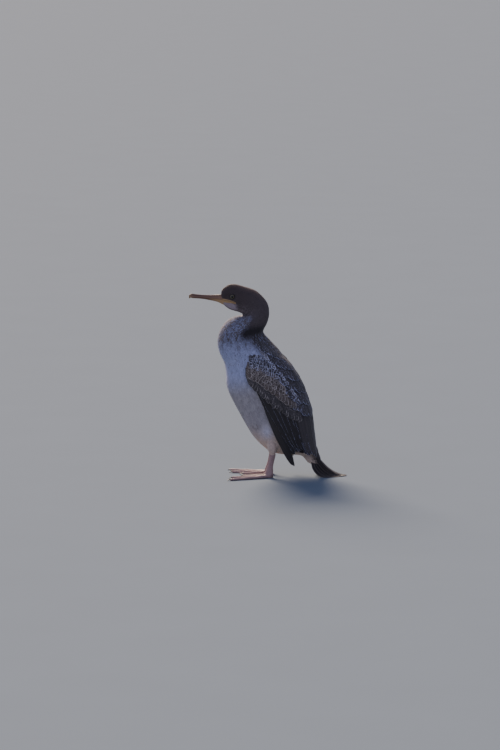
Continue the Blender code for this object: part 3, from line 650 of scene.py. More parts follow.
def plumage(points, along, height, chance):
    """Colour of the middle and of the tip of the body feather rooted at each point."""
    paint = bpy.context.scene.shag_colours
    crown, neck, collar = np.array(paint.crown), np.array(paint.neck), np.array(paint.collar)
    mottle, breast, belly = np.array(paint.mottle), np.array(paint.breast), np.array(paint.belly)
    patches = speckle(points, 11.0, 3)
    fine = speckle(points, 4.0, 5)

    ground = mixed(crown, neck, rise(3, 9, along + 2 * (1 - height)))
    # Warm brown tips on top of the crown and nape: partly the young bird's browner crown, partly a painted rim of
    # sunlight
    brown_crown_and_rim_light = rise(0.80, 0.95, height) * (1 - rise(5, 9, along))
    tip = mixed(ground * 1.18, (0.22, 0.13, 0.095), 0.6 * brown_crown_and_rim_light)

    # Chin and throat
    chin = (1 - rise(0.27, 0.36, height + 0.05 * (fine - 0.5))) * (1 - rise(2.9, 4.0, along))
    chin = chin * (0.12 + 0.88 * rise(0.05, 0.13, height)) * rise(-0.2, 0.5, along)
    throat = (1 - rise(0.16, 0.50, height)) * rise(3.4, 4.6, along) * (1 - rise(9.5, 10.5, along)) * 0.35
    under = (1 - rise(0.10, 0.22, height)) * (1 - rise(4.5, 6.5, along))
    ground = mixed(ground, neck * 1.7, under)
    tip = mixed(tip, neck * 2.0, under)
    ground = mixed(ground, paint.chin, np.clip(chin, 0, 1))
    tip = mixed(tip, np.array(paint.chin) * 1.12, np.clip(chin, 0, 1))
    ground = mixed(ground, mixed(mottle, paint.chin, rise(0.45, 0.75, chance)), throat)

    # Front of the neck and upper breast, flecked brown and white
    front = rise(8.6, 10.2, along) * (1 - rise(0.42, 0.66, height - 0.05 * (along - 11)))
    flecked = mixed(mottle * 1.1, breast * 0.48, rise(0.15, 0.95, 0.8 * chance + 0.2 * fine))
    ground = mixed(ground, flecked, front)
    tip = mixed(tip, mixed(mottle * 1.5, breast * 0.62, rise(0.2, 0.8, chance)), front)

    # Breast and belly; the breast colour carries a painted bluish tint of sky light in shade
    low = rise(12.8, 15.2, along + 1.2 * (patches - 0.5)) * (1 - rise(0.72, 0.84, height))
    pale = mixed(breast, belly, rise(16.5, 19.5, along))
    pale = pale * (1 - 0.14 * (patches[:, None] - 0.5)) * (0.95 + 0.10 * chance[:, None])
    vent = rise(21.4, 24.0, along) * (1 - rise(0.65, 0.85, height))
    pale = mixed(pale, paint.vent, np.clip(vent + thigh_mask(points), 0, 1))
    fade = 1 - rise(14.0, 18.0, along)
    some_dark = rise(0.70, 0.84, chance) * fade * 0.8 + 0.5 * rise(0.965, 0.98, chance) * (1 - rise(21, 24, along))
    pale_ground = mixed(pale * 0.86, mottle * 1.3, np.clip(some_dark, 0, 1))
    ground = mixed(ground, pale_ground, low)
    tip = mixed(tip, pale * 1.06, low)
    flank = np.exp(-(((points[:, 1] + 6) / 13) ** 2 + ((points[:, 2] - 104) / 15) ** 2)) * low * 0.8
    white = np.array([0.62, 0.61, 0.70])
    ground, tip = mixed(ground, white * 0.9, flank), mixed(tip, white, flank)
    smudge = 0.55 * np.exp(-(((points[:, 1] + 27) / 9) ** 2 + ((points[:, 2] - 112) / 7) ** 2)) * low * fine
    ground, tip = mixed(ground, mottle, smudge), mixed(tip, mottle, smudge)

    # Shoulder, dark with pale flecks
    shoulder = rise(12.2, 13.2, along) * (1 - rise(15.5, 17.0, along)) * rise(0.58, 0.80, height)
    specks = mixed(mottle * 0.6, breast * 0.5, rise(0.52, 0.88, 0.7 * chance + 0.3 * fine))
    ground = mixed(ground, specks, shoulder)
    tip = mixed(tip, specks * 1.2, shoulder)

    # Back between the wings, rump and tail coverts
    back = rise(13.2, 15.2, along) * rise(0.76, 0.88, height)
    ground = mixed(ground, np.array(paint.back), back)
    # Sparse tips of the back in the edge sheen colour: painted glints of sunlight on the feather tips
    sunlit_glints = rise(0.55, 0.85, chance) * (1 - rise(17, 21, along))
    tip = mixed(tip, mixed(np.array(paint.back) * 1.6, np.array(paint.edge_sheen) * 0.9, sunlit_glints), back)
    rump = rise(27.6, 29.0, along) * rise(0.30, 0.62, height)
    ground = mixed(ground, np.array(paint.flight) * 1.3, rump)
    tip = mixed(tip, np.array(paint.flight) * 2.2, rump)
    under_tail = rise(29.0, 30.5, along) * (1 - rise(0.3, 0.6, height))
    ground = mixed(ground, np.array(paint.vent) * 0.8, under_tail)

    # Dark collar
    band = hump(12.1, 1.05, along + 1.6 * (height - 0.8)) * rise(0.40, 0.62, height)
    ground = mixed(ground, collar, np.clip(1.15 * band, 0, 1))
    tip = mixed(tip, collar * 1.4, np.clip(1.1 * band, 0, 1))
    return ground, tip


# Skin


def oval_ring(row, sides):
    """A ring round a body row's two points, as wide as the row says."""
    under, upper, half_width = row[0:2], row[2:4], row[4]
    turn = 2 * math.pi * np.arange(sides) / sides
    across = np.copysign(np.abs(np.sin(turn)) ** BODY_FULLNESS, np.sin(turn))
    place = (under + upper) / 2 + (upper - under) / 2 * np.cos(turn)[:, None]
    return np.column_stack([half_width * across, place])


def level_rings(rows, side, per_row=3, sides=28):
    """Level oval rings of a leg on one side of the bird."""
    rings = []
    for x, y, z, half_width, half_depth in through(numbered(rows), np.linspace(0, len(rows) - 1, (len(rows) - 1) * per_row + 1)):
        turn = 2 * math.pi * np.arange(sides) / sides
        rings.append(np.column_stack([
            side * (x + half_width * np.cos(turn)), y + half_depth * np.sin(turn), np.full(sides, z)
        ]))
    return rings


def wing_place(down, turn, lift=0.0):
    """Points of the left wing's surface, raised from it by the lift."""
    down, turn = np.broadcast_arrays(np.asarray(down, float), np.asarray(turn, float))
    back, centre, half_width = np.moveaxis(through(WING_ROWS, down), -1, 0)
    angle = np.radians(turn)
    off = centre + (back - centre + lift) * np.cos(angle)
    place = WING_TOP + WING_AXIS * down[..., None] + WING_OUT * off[..., None]
    return np.concatenate([((half_width + lift) * np.sin(angle))[..., None], place], axis=-1)


def wing_bed_rings(side):
    """Rings of the flesh of one wing, which reaches down into the body."""
    rings = []
    for down in np.linspace(WING_BED_ROWS[0][0], WING_BED_ROWS[-1][0], 40):
        back_edge, front_edge = through(WING_BED_ROWS, np.array(down))
        ending = max(0.0, (down - 150) / 90)
        turns = np.linspace(back_edge, front_edge, 22)
        share = np.linspace(-1, 1, 22)
        sunk = 0.6 + 1.6 * ending + 5.5 * (1 - rise(14, 50, down))
        outer = wing_place(down, turns, -sunk - 1.6 * np.abs(share) ** 6)
        inner = wing_place(down, turns[::-1], -12.0 + 5 * ending)
        rings.append(np.concatenate([outer, inner]) * np.array([side, 1, 1]))
    return rings


def sculpt_face(points, normals):
    """Lids, lores, brow, cheeks and the line of the mouth, as moves of the skin's points."""
    out = np.sign(points[:, 0])
    from_eye = eye_distance(points)
    face = rise(5.0, 9.0, np.abs(points[:, 0])) * (points[:, 1] < -50) * (points[:, 2] > 340)
    depth = np.zeros(len(points))
    depth -= 1.3 * np.exp(-(((points[:, 1] + 85.0) / 5.5) ** 2 + ((points[:, 2] - 371.0) / 4.0) ** 2))
    depth += 0.9 * np.exp(-(((points[:, 1] + 74.0) / 7.5) ** 2 + ((points[:, 2] - 379.6) / 2.2) ** 2))
    depth += 0.7 * np.exp(-(((points[:, 1] + 62.0) / 8.0) ** 2 + ((points[:, 2] - 366.0) / 6.0) ** 2))
    off, part = from_line(points, GAPE_POINTS)
    near = face * (1 - rise(0.93, 1.0, part))
    depth += near * (0.55 * hump(1.3, 0.7, off) - 0.9 * hump(0.0, 0.42, off))
    points = points + normals * (depth * face)[:, None]

    # The skin meets the eyeball in two lids, and dips behind it inside them
    reach = np.sqrt(np.maximum(EYE_RADIUS**2 - from_eye**2, 0.0))
    over = EYE_CENTRE[0] + reach
    rim = 0.55 * hump(4.45, 0.55, from_eye) + 0.18 * hump(5.6, 0.35, from_eye)
    folded = np.abs(points[:, 0])
    lid = np.where(from_eye < 3.75, over - 1.2, over + rim)
    share = (1 - rise(4.6, 6.4, from_eye)) * (face > 0.3)
    wide = folded + (lid - folded) * share + 0.35 * hump(6.4, 0.6, from_eye) * (face > 0.3)
    points[:, 0] = out * wide
    return points


def refine_face(mesh):
    """Finer faces round the eyes and the mouth."""
    work = bmesh.new()
    work.from_mesh(mesh)
    for cuts, reach in ((1, 15.0), (1, 9.0)):
        chosen = set()
        for face in work.faces:
            centre = np.array(face.calc_center_median()) / MM
            near_eye = math.hypot(centre[1] - EYE_CENTRE[1], centre[2] - EYE_CENTRE[2]) < reach
            near_mouth = -102 < centre[1] < -62 and 357 < centre[2] < 368
            if abs(centre[0]) > 4 and (near_eye or near_mouth):
                chosen.update(face.edges)
        bmesh.ops.subdivide_edges(work, edges=list(chosen), cuts=cuts, use_grid_fill=True)
    bmesh.ops.triangulate(work, faces=[face for face in work.faces if len(face.verts) > 4])
    work.to_mesh(mesh)
    work.free()
    mesh.update()


def gape_mask(points):
    """1 on the bare skin along the mouth, which is broad at the bill and ends under the eye."""
    off, part = from_line(points, GAPE_POINTS)
    below = from_line(points, [(y, z - 2.6 + 1.4 * place) for place, (y, z) in zip((0, 0.3, 0.7, 1), GAPE_POINTS)])[0]
    band = np.minimum(off, below)
    return (1 - rise(2.3, 3.2, band + 1.5 * part**2)) * (np.abs(points[:, 0]) > 3.0) * (points[:, 1] < -62), off


def bare_mask(points):
    """1 on the bare skin: lids, gape and the foot of the bill."""
    gape, _ = gape_mask(points)
    lids = 1 - rise(5.6, 6.3, eye_distance(points))
    side = np.abs(points[:, 0]) > 5
    face = points[:, 2] > 350
    bill_foot = 1 - rise(-94.6, -93.0, points[:, 1])
    return np.clip(face * (np.where(side, lids, 0) * (points[:, 2] > 360) + gape + bill_foot), 0, 1)


def paint_skin(mesh, points, along, height):
    paint = bpy.context.scene.shag_colours
    middle = np.full(len(points), 0.5)
    ground, _ = plumage(points, along, height, middle)
    covered = under_wing(points) * rise(40, 60, wing_coordinates(points)[0])
    ground = mixed(ground, paint.flight, covered)
    gape, off = gape_mask(points)
    ground = mixed(ground, paint.gape, gape)
    ground = mixed(ground, np.array(paint.gape) * 0.22, gape * hump(0, 0.45, off))
    lids = (1 - rise(5.7, 6.4, eye_distance(points))) * (np.abs(points[:, 0]) > 5) * (points[:, 2] > 360)
    ground = mixed(ground, paint.lid, lids)
    store(mesh, "markings", "FLOAT_COLOR", ground)
    store(mesh, "bare", "FLOAT", np.clip(gape + lids, 0, 1))


class SHAG_OT_skin(bpy.types.Operator):
    """One skin for the head, neck, body, thighs and the flesh of wings and tail"""

    bl_idname = "shag.skin"
    bl_label = "Skin"

    def execute(self, context):
        sizes = context.scene.shag_sizes
        at = np.linspace(0, LAST_ROW, LAST_ROW * 4 + 1)
        bodies = [[oval_ring(row, 64) for row in through(numbered(BODY_ROWS), at)]]
        for side in (1, -1):
            bodies.append(level_rings(THIGH_ROWS, side))
            bodies.append(wing_bed_rings(side))
        skin = fused("skin", *joined_rings(bodies), sizes.skin_cell, 5)
        mesh = skin.data
        refine_face(mesh)
        points, normals = points_of(mesh), normals_of(mesh)
        along, height = body_place(points)
        depth = np.interp(along, (0, 3, 7, 13, 16), (1, 1.4, 2.2, 3.2, 4)) / 4
        depth = sizes.face_depth + (sizes.body_depth - sizes.face_depth) * depth
        depth = depth * (1 - 0.7 * under_wing(points))
        points = points - normals * depth[:, None] / MM
        move_points(mesh, points)
        points = sculpt_face(points, normals_of(mesh))
        move_points(mesh, points)
        paint_skin(mesh, points, along, height)

        finish = Finish("bird_skin", Roughness=0.62, Specular_IOR_Level=0.35)
        grain = finish.noise(1.6, detail=4.0)
        finish.join(Base_Color=finish.brightened(finish.colours("markings"), 0.72 + 0.56 * grain))
        finish.bump(finish.noise(0.9), 0.5, 0.25)
        finish_piece(skin, finish.material, "plumage_dark", "torso", "neck", "head", "thigh_left", "thigh_right")
        return {"FINISHED"}


# Body feathers


def tuft_object(name, fingers):
    """A feather of unit length along +Y and unit width, whose tip is split into fingers."""
    columns = fingers + 1
    rows = ((0.0, 0.34), (0.42, 0.86), (0.74, 1.0))
    points, along, across, faces = [], [], [], []
    for row, (place, width) in enumerate(rows):
        for column in range(columns):
            share = 2 * column / fingers - 1
            sag = 0.10 * share**2
            points.append((0.5 * width * share, place - 0.05 * share**2, bow(place) - sag * 0.5))
            along.append(place)
            across.append(share)
            if row and column:
                here = row * columns + column
                faces.append((here - 1 - columns, here - columns, here, here - 1))
    for finger in range(fingers):
        share = 2 * (finger + 0.5) / fingers - 1
        reach = 1.0 - 0.16 * share**2 - (0.05 if finger % 2 else 0.0)
        left, right = (len(rows) - 1) * columns + finger, (len(rows) - 1) * columns + finger + 1
        points.append((0.5 * share * 0.86, reach, bow(reach) - 0.05 * share**2))
        along.append(1.0)
        across.append(share)
        faces.append((left, right, len(points) - 1))
    mesh = bpy.data.meshes.new(name)
    mesh.from_pydata(points, [], faces)
    store(mesh, "along_tuft", "FLOAT", along)
    store(mesh, "across_tuft", "FLOAT", across)
    return object_of(name, mesh)


def bow(place):
    """Height of a body feather over its root, for a unit length."""
    return 0.20 * place - 0.13 * place**2


def scatter_tree():
    """Geometry Nodes that set feathers on a skin, along its lie."""
    tree = bpy.data.node_groups.new("plumage_growth", "GeometryNodeTree")
    kinds = (
        ("Geometry", "NodeSocketGeometry"), ("Feather", "NodeSocketObject"), ("Spacing", "NodeSocketFloat"),
        ("Lift", "NodeSocketFloat"), ("Ruffle", "NodeSocketFloat"), ("Variation", "NodeSocketFloat"),
        ("Seed", "NodeSocketInt"), ("Material", "NodeSocketMaterial"),
    )
    for name, kind in kinds:
        tree.interface.new_socket(name, in_out="INPUT", socket_type=kind)
    tree.interface.new_socket("Geometry", in_out="OUTPUT", socket_type="NodeSocketGeometry")
    given = add_node(tree, "NodeGroupInput").outputs

    def named(name, kind):
        settings = {"data_type": kind}
        return add_node(tree, "GeometryNodeInputNamedAttribute", settings, {"Name": name}).outputs["Attribute"]

    def chance(low, high, place):
        sockets = {2: low, 3: high, "Seed": place}
        return add_node(tree, "FunctionNodeRandomValue", {"data_type": "FLOAT"}, sockets).outputs[1]

    def times(first, second):
        return Value(tree, first).math("MULTIPLY", second)

    points = add_node(tree, "GeometryNodeDistributePointsOnFaces", {"distribute_method": "POISSON"}, {
        "Mesh": given["Geometry"],
        "Distance Min": given["Spacing"],
        "Density Max": 2.0e6,
        "Density Factor": named("growth", "FLOAT"),
        "Seed": given["Seed"],
    })
    rooted = add_node(tree, "GeometryNodeStoreNamedAttribute", {"data_type": "FLOAT_VECTOR", "domain": "POINT"}, {
        "Geometry": points.outputs["Points"],
        "Name": "root_place",
        "Value": add_node(tree, "GeometryNodeInputPosition").outputs[0],
    })
    drawn = add_node(tree, "GeometryNodeStoreNamedAttribute", {"data_type": "FLOAT", "domain": "POINT"}, {
        "Geometry": rooted.outputs[0], "Name": "chance", "Value": chance(0.0, 1.0, 11),
    })
    facing = add_node(tree, "FunctionNodeAxesToRotation", {"primary_axis": "Z", "secondary_axis": "Y"}, {
        "Primary Axis": points.outputs["Normal"], "Secondary Axis": named("lie", "FLOAT_VECTOR"),
    })
    lifted = times(chance(0.4, 1.6, 12), given["Lift"])
    turned = times(chance(-1.0, 1.0, 13), given["Ruffle"])
    rolled = times(chance(-0.8, 0.8, 14), given["Ruffle"])
    turn = add_node(tree, "ShaderNodeCombineXYZ", None, {0: lifted, 1: rolled, 2: turned})
    turn = add_node(tree, "FunctionNodeEulerToRotation", None, {0: turn.outputs[0]})
    rotation = add_node(tree, "FunctionNodeRotateRotation", {"rotation_space": "LOCAL"}, {
        0: facing.outputs[0], 1: turn.outputs[0],
    })
    bigger = Value(tree, chance(-1.0, 1.0, 15)) * Value(tree, given["Variation"]) + 1.0
    size = add_node(tree, "ShaderNodeVectorMath", {"operation": "SCALE"}, {
        0: named("feather_size", "FLOAT_VECTOR"), "Scale": bigger,
    })
    feather = add_node(tree, "GeometryNodeObjectInfo", None, {"Object": given["Feather"]})
    planted = add_node(tree, "GeometryNodeInstanceOnPoints", None, {
        "Points": drawn.outputs[0],
        "Instance": feather.outputs["Geometry"],
        "Rotation": rotation.outputs[0],
        "Scale": size.outputs[0],
    })
    real = add_node(tree, "GeometryNodeRealizeInstances", None, {0: planted.outputs[0]})
    painted = add_node(tree, "GeometryNodeSetMaterial", None, {
        "Geometry": real.outputs[0], "Material": given["Material"],
    })
    add_node(tree, "NodeGroupOutput", None, {0: painted.outputs[0]})
    return tree


def plumage_material():
    finish = Finish("body_plumage", Roughness=0.78, Specular_IOR_Level=0.25, Sheen_Weight=0.25, Sheen_Roughness=0.5)
    barbs = finish.noise(0.7, detail=2.0)
    soft = finish.noise(9.0)
    finish.join(Base_Color=finish.brightened(finish.colours("markings"), 0.66 + 0.42 * barbs + 0.26 * soft))
    finish.bump(barbs, 0.35, 0.2)
    return finish.material


def grow(name, tree, feather, growth, spacing, lift, ruffle, seed, material):
    """One piece of coat on the skin, where growth says, with its markings and its bake map."""
    skin = bpy.data.objects["skin"]
    mesh = skin.data.copy()
    store(mesh, "growth", "FLOAT", growth)
    coat = object_of(name, mesh)
    modifier = coat.modifiers.new("Growth", "NODES")
    modifier.node_group = tree
    given = {
        "Feather": feather, "Spacing": spacing, "Lift": lift, "Ruffle": ruffle, "Variation": 0.22,
        "Seed": seed, "Material": material,
    }
    for socket in tree.interface.items_tree:
        if socket.in_out == "INPUT" and socket.name in given:
            modifier[socket.identifier] = given[socket.name]
    mesh = evaluated(coat)

    size = len(feather.data.vertices)
    count = len(mesh.vertices) // size
    roots = np.empty(count * size * 3)
    mesh.attributes["root_place"].data.foreach_get("vector", roots)
    roots = roots.reshape(count, size, 3)[:, 0] / MM
    chance = np.empty(count * size)
    mesh.attributes["chance"].data.foreach_get("value", chance)
    chance = chance.reshape(count, size)[:, 0]
    along, height = body_place(roots)
    ground, tip = plumage(roots, along, height, chance)
    local = np.empty(size)
    feather.data.attributes["along_tuft"].data.foreach_get("value", local)
    across = np.empty(size)
    feather.data.attributes["across_tuft"].data.foreach_get("value", across)
    part = rise(0.62, 1.0, np.maximum(local, 0.86 * np.abs(across) * (local > 0.3)))
    shade = np.interp(local, (0, 0.4, 1), (0.62, 0.94, 1.06))
    painted = (ground[:, None] * (1 - part[None, :, None]) + tip[:, None] * part[None, :, None])
    painted = painted * shade[None, :, None] * (0.90 + 0.2 * chance[:, None, None])
    store(mesh, "markings", "FLOAT_COLOR", painted.reshape(-1, 3))

    # The bake map: each feather is a small patch at its root's place on the unrolled skin
    round_body = np.arccos(np.clip(1 - 2 * height, -1, 1)) / math.pi * np.sign(roots[:, 0])
    root_map = np.column_stack([0.5 + 0.48 * round_body, 0.01 + 0.98 * along / LAST_ROW])
    patch = np.column_stack([across * 0.5, local - 0.5]) * 0.003
    places = (root_map[:, None] + patch[None]).reshape(-1, 2)
    corners = np.empty(len(mesh.loops), np.int64)
    mesh.loops.foreach_get("vertex_index", corners)
    lay_bake_map(mesh, places[corners])
    for extra in ("root_place", "chance", "growth", "lie", "feather_size", "bare", "along_tuft", "across_tuft"):
        if extra in mesh.attributes:
            mesh.attributes.remove(mesh.attributes[extra])
    return coat


def lay_bake_map(mesh, places):
    """The UV map that the export bakes by, one place for each corner of a face."""
    layer = mesh.uv_layers.get("OFBake") or mesh.uv_layers.new(name="OFBake")
    layer.data.foreach_set("uv", np.asarray(places, np.float32).ravel())
    mesh.uv_layers.active = layer


class SHAG_OT_plumage(bpy.types.Operator):
    """Small feathers of the head, neck, breast, belly and back"""

    bl_idname = "shag.plumage"
    bl_label = "Body plumage"

    def execute(self, context):
        sizes = context.scene.shag_sizes
        skin = bpy.data.objects["skin"]
        mesh = skin.data
        points, normals = points_of(mesh), normals_of(mesh)
        along, height = body_place(points)
        lie = lie_of(points, normals, along, height)
        store(mesh, "lie", "FLOAT_VECTOR", lie)
        rows = (0, 1.5, 4, 7, 10, 13, 16, 22, 27, LAST_ROW)
        reach = np.interp(along, rows, (1.9, 2.7, 3.9, 5.0, 5.4, 6.4, 9.0, 11.0, 10.5, 13.0))
        wide = np.interp(along, rows, (0.65, 0.8, 1.05, 1.4, 1.7, 2.2, 3.2, 3.9, 4.0, 5.0))
        near_eye = 1 - rise(6.0, 13.0, eye_distance(points)) * (np.abs(points[:, 0]) > 3)
        reach *= 1 - 0.35 * np.clip(near_eye, 0, 1) * (along < 5)
        on_thigh = thigh_mask(points)
        reach = reach * (1 - 0.35 * on_thigh)
        wide = wide * (1 - 0.25 * on_thigh)
        store(mesh, "feather_size", "FLOAT_VECTOR", np.column_stack([wide, reach, reach]) * MM)

        facing = (normals * body_lie(points, along, height)).sum(axis=1)
        free = (1 - under_wing(points)) * (1 - rise(0.3, 0.6, bare_mask(points))) * (points[:, 2] > 48.5)
        free = free * np.where(along < 9, 1.0, (np.abs(facing) < 0.62))
        free = np.where(along > 28, (along < 31.6) * (np.abs(facing) < 0.8), free)
        tree = scatter_tree()
        fine = tuft_object("fine_feather", 2)
        soft = tuft_object("soft_feather", 5)
        material = plumage_material()
        back = height > 0.74
        regions = (
            ("head_plumage", fine, along < 6.5, sizes.head_spacing, 0.06, 0.16, "plumage_dark"),
            ("neck_plumage", fine, (along >= 6.5) & (along < 12.6), sizes.neck_spacing, 0.05, 0.16, "plumage_dark"),
            ("breast_plumage", soft, (along >= 12.6) & (along < 18) & ~back, sizes.breast_spacing, 0.02, 0.13, "plumage_pale"),
            ("belly_plumage", soft, (along >= 18) & (along < 29) & ~back, sizes.belly_spacing, 0.02, 0.12, "plumage_pale"),
            ("back_plumage", soft, ((along >= 12.6) & (along < 29) & back) | (along >= 29), sizes.back_spacing, 0.0, 0.12, "plumage_dark"),
        )
        for number, (name, feather, where, spacing, lift, ruffle, slot) in enumerate(regions):
            growth = free * where
            coat = grow(name, tree, feather, growth, spacing, lift, ruffle, 20 + number, material)
            finish_piece(coat, material, slot)
            print(name, len(coat.data.polygons), "faces")
        bpy.data.objects.remove(fine)
        bpy.data.objects.remove(soft)
        return {"FINISHED"}


# Wing and tail feathers


ACROSS = np.array([-1.0, -0.84, -0.5, -0.08, 0.0, 0.08, 0.5, 0.84, 1.0])
STATIONS = 1 - (1 - np.linspace(0, 1, 17)) ** 1.45


def outline(kind, part):
    """Half width of a feather along its length, with its widest part at 1."""
    open_root = 0.30 + 0.70 * rise(0.0, 0.38, part)
    if kind == "flight":
        tip = np.sqrt(np.maximum(0.0, 1 - np.maximum(0.0, (part - 0.62) / 0.38) ** 2.6))
    else:
        tip = np.sqrt(np.maximum(0.0, 1 - np.maximum(0.0, (part - 0.55) / 0.45) ** 2.4))
    return np.maximum(open_root * tip, 0.05)


def vane_grid(centres, sides, ups, half_widths, rng, shaft):
    """Upper points of feathers: centres, directions and half widths, by feather and station."""
    count, stations = half_widths.shape
    across = ACROSS[None, None, :, None]
    shape = (count, stations, len(ACROSS))
    ragged = 1 - 0.07 * rng.uniform(0, 1, shape)
    torn = (rng.uniform(0, 1, shape) > 0.93) * rng.uniform(0.08, 0.22, shape)
    edge = (np.abs(ACROSS) > 0.8)[None, None, :]
    reach = np.where(edge, ragged - torn, 1.0)[..., None]
    camber = -0.16 * ACROSS**2
    height = camber[None, None, :] * half_widths[..., None]
    height = height + shaft * (np.abs(ACROSS) < 0.05) * (1 - 0.7 * STATIONS)[None, :, None]
    return (
        centres[:, :, None]
        + sides[:, :, None] * across * reach * half_widths[..., None, None]
        + ups[:, :, None] * height[..., None]
    )


def vanes(name, upper, ups, thickness, details):
    """A mesh of closed feathers from their upper points, with what their colours need."""
    count, stations, columns, _ = upper.shape
    thin = thickness * (1 - 0.5 * STATIONS)[None, :, None, None]
    lower = upper - ups[:, :, None] * thin
    points = np.concatenate([upper.reshape(count, -1, 3), lower.reshape(count, -1, 3)], axis=1)
    size = stations * columns
    grid = np.arange(size).reshape(stations, columns)
    quads = np.stack([grid[:-1, :-1], grid[:-1, 1:], grid[1:, 1:], grid[1:, :-1]], axis=-1).reshape(-1, 4)
    rim = np.concatenate([grid[0, :-1], grid[:-1, -1], grid[-1, :0:-1], grid[:0:-1, 0]])
    after = np.roll(rim, -1)
    walls = np.stack([rim, rim + size, after + size, after], axis=-1)
    faces = np.concatenate([quads, quads[:, ::-1] + size, walls])
    every = (faces[None] + (np.arange(count) * 2 * size)[:, None, None]).reshape(-1, 4)
    mesh = mesh_of(name, points.reshape(-1, 3), every)
    turned_outwards(mesh)

    def spread(values):
        """One value for each upper and lower point of each feather."""
        values = np.broadcast_to(values, (count, stations, columns) + values.shape[3:])
        values = values.reshape((count, size) + values.shape[3:])
        return np.concatenate([values, values], axis=1).reshape((-1,) + values.shape[2:])

    across = ACROSS[None, None, :]
    along = STATIONS[None, :, None]
    half = details["half_widths"][:, :, None]
    reach = details["lengths"][:, None, None]
    fade = details["fade"][:, None, None]
    shown = np.sign(across) * details["raised"][:, None, None]
    narrowing = fade * (np.maximum(0, 0.86 - along) * reach * (1 - 0.6 * shown) + 2.6 * (shown < 0))
    edge = np.minimum((1 - np.abs(across)) * half + narrowing, (1 - along) * reach * 0.8)
    store(mesh, "from_edge", "FLOAT", spread(edge))
    store(mesh, "barb", "FLOAT", spread(along * reach + np.abs(across) * half * 1.1))
    store(mesh, "from_shaft", "FLOAT", spread(np.abs(across) * half + 0 * along))
    store(mesh, "along_vane", "FLOAT", spread(along + 0 * across))
    for key in ("chance", "fringe_width", "flecked"):
        store(mesh, key, "FLOAT", spread(details[key][:, None, None]))
    for key in ("ground", "fringe"):
        store(mesh, key, "FLOAT_COLOR", spread(details[key][:, None, None, :]))

    # The bake map: each feather has its own cell of a grid
    columns_of_cells = int(math.ceil(math.sqrt(count * 2.2)))
    rows_of_cells = int(math.ceil(count / columns_of_cells))
    number = np.arange(count)
    corner = np.column_stack([number % columns_of_cells, number // columns_of_cells])
    local = np.stack(np.broadcast_arrays(0.5 + 0.42 * across, 0.05 + 0.9 * along), axis=-1)
    cells = (corner[:, None, None] + local) / np.array([columns_of_cells, rows_of_cells])
    cells = spread(cells)
    corners = np.empty(len(mesh.loops), np.int64)
    mesh.loops.foreach_get("vertex_index", corners)
    lay_bake_map(mesh, cells[corners])
    return mesh


def lay_on_wing(roots, tips, half_width, sink, lift, roll, kind, rng, lean=1.0):
    """Centres, directions, half widths and lengths of feathers laid along the left wing."""
    flat = rise(14, 40, tips[:, 1])
    turned = np.radians(roll * (0.2 + 0.8 * flat) + rng.normal(0, 1.2, len(roots)))[:, None, None]
    part = STATIONS[None, :]
    down = roots[:, 0, None] + (tips - roots)[:, 0, None] * part
    turn = roots[:, 1, None] + (tips - roots)[:, 1, None] * part
    step = 0.5
    along = (wing_place(down + step, turn) - wing_place(down - step, turn)) / (2 * step)
    around = (wing_place(down, turn + step) - wing_place(down, turn - step)) / (2 * step)
    run = unit(along * (tips - roots)[:, 0, None, None] + around * (tips - roots)[:, 1, None, None])
    up = unit(np.cross(around, along))
    up = np.where(up[..., :1] < 0, -up, up)
    side = unit(np.cross(up, run))
    side = np.where((side * around).sum(-1, keepdims=True) < 0, -side, side)
    flat = 0.25 + 0.75 * rise(16, 44, turn)
    lifts = sink + (lift * flat + rng.normal(0, 0.12, (len(roots), 1)) - sink) * part**1.5
    lifts = lifts - 2.0 * (1 - rise(14, 32, turn))
    centres = wing_place(down, turn, lifts)
    sides = side * np.cos(turned) + up * np.sin(turned)
    ups = up * np.cos(turned) - side * np.sin(turned)
    half_widths = half_width * outline(kind, part) * rng.uniform(0.94, 1.06, (len(roots), 1))
    lengths = np.linalg.norm(centres[:, -1] - centres[:, 0], axis=1)
    return centres, sides, ups, half_widths, lengths


def lesser_tiers(count):
    """Tiers of small coverts, whose lowest lies over the median coverts."""
    top_roots, low_roots = ((25, 87), (28, 78), (33, 69), (38, 61)), ((46, 100), (62, 91), (86, 80), (118, 66))
    top_tips, low_tips = ((43, 93), (46, 83), (51, 73), (58, 62)), ((70, 106), (86, 95), (110, 82), (142, 65))
    tiers = {}
    for number in range(count):
        share = 1 - number / (count - 1)
        roots = [tuple(line) for line in mixed(top_roots, low_roots, np.full(4, share))]
        tips = [tuple(line) for line in mixed(top_tips, low_tips, np.full(4, share))]
        edge = "fringe" if share > 0.62 else "shoulder"
        middle = "covert" if share > 0.5 else "scapular"
        tiers[f"lesser_coverts_{number}"] = (
            16 + number % 2 + int(3 * share), roots, tips, 3.9 + 1.5 * share, 1.5 + 0.3 * share, -6, "covert", middle, edge, 1.0 + 0.35 * share, 0.13
        )
    return tiers


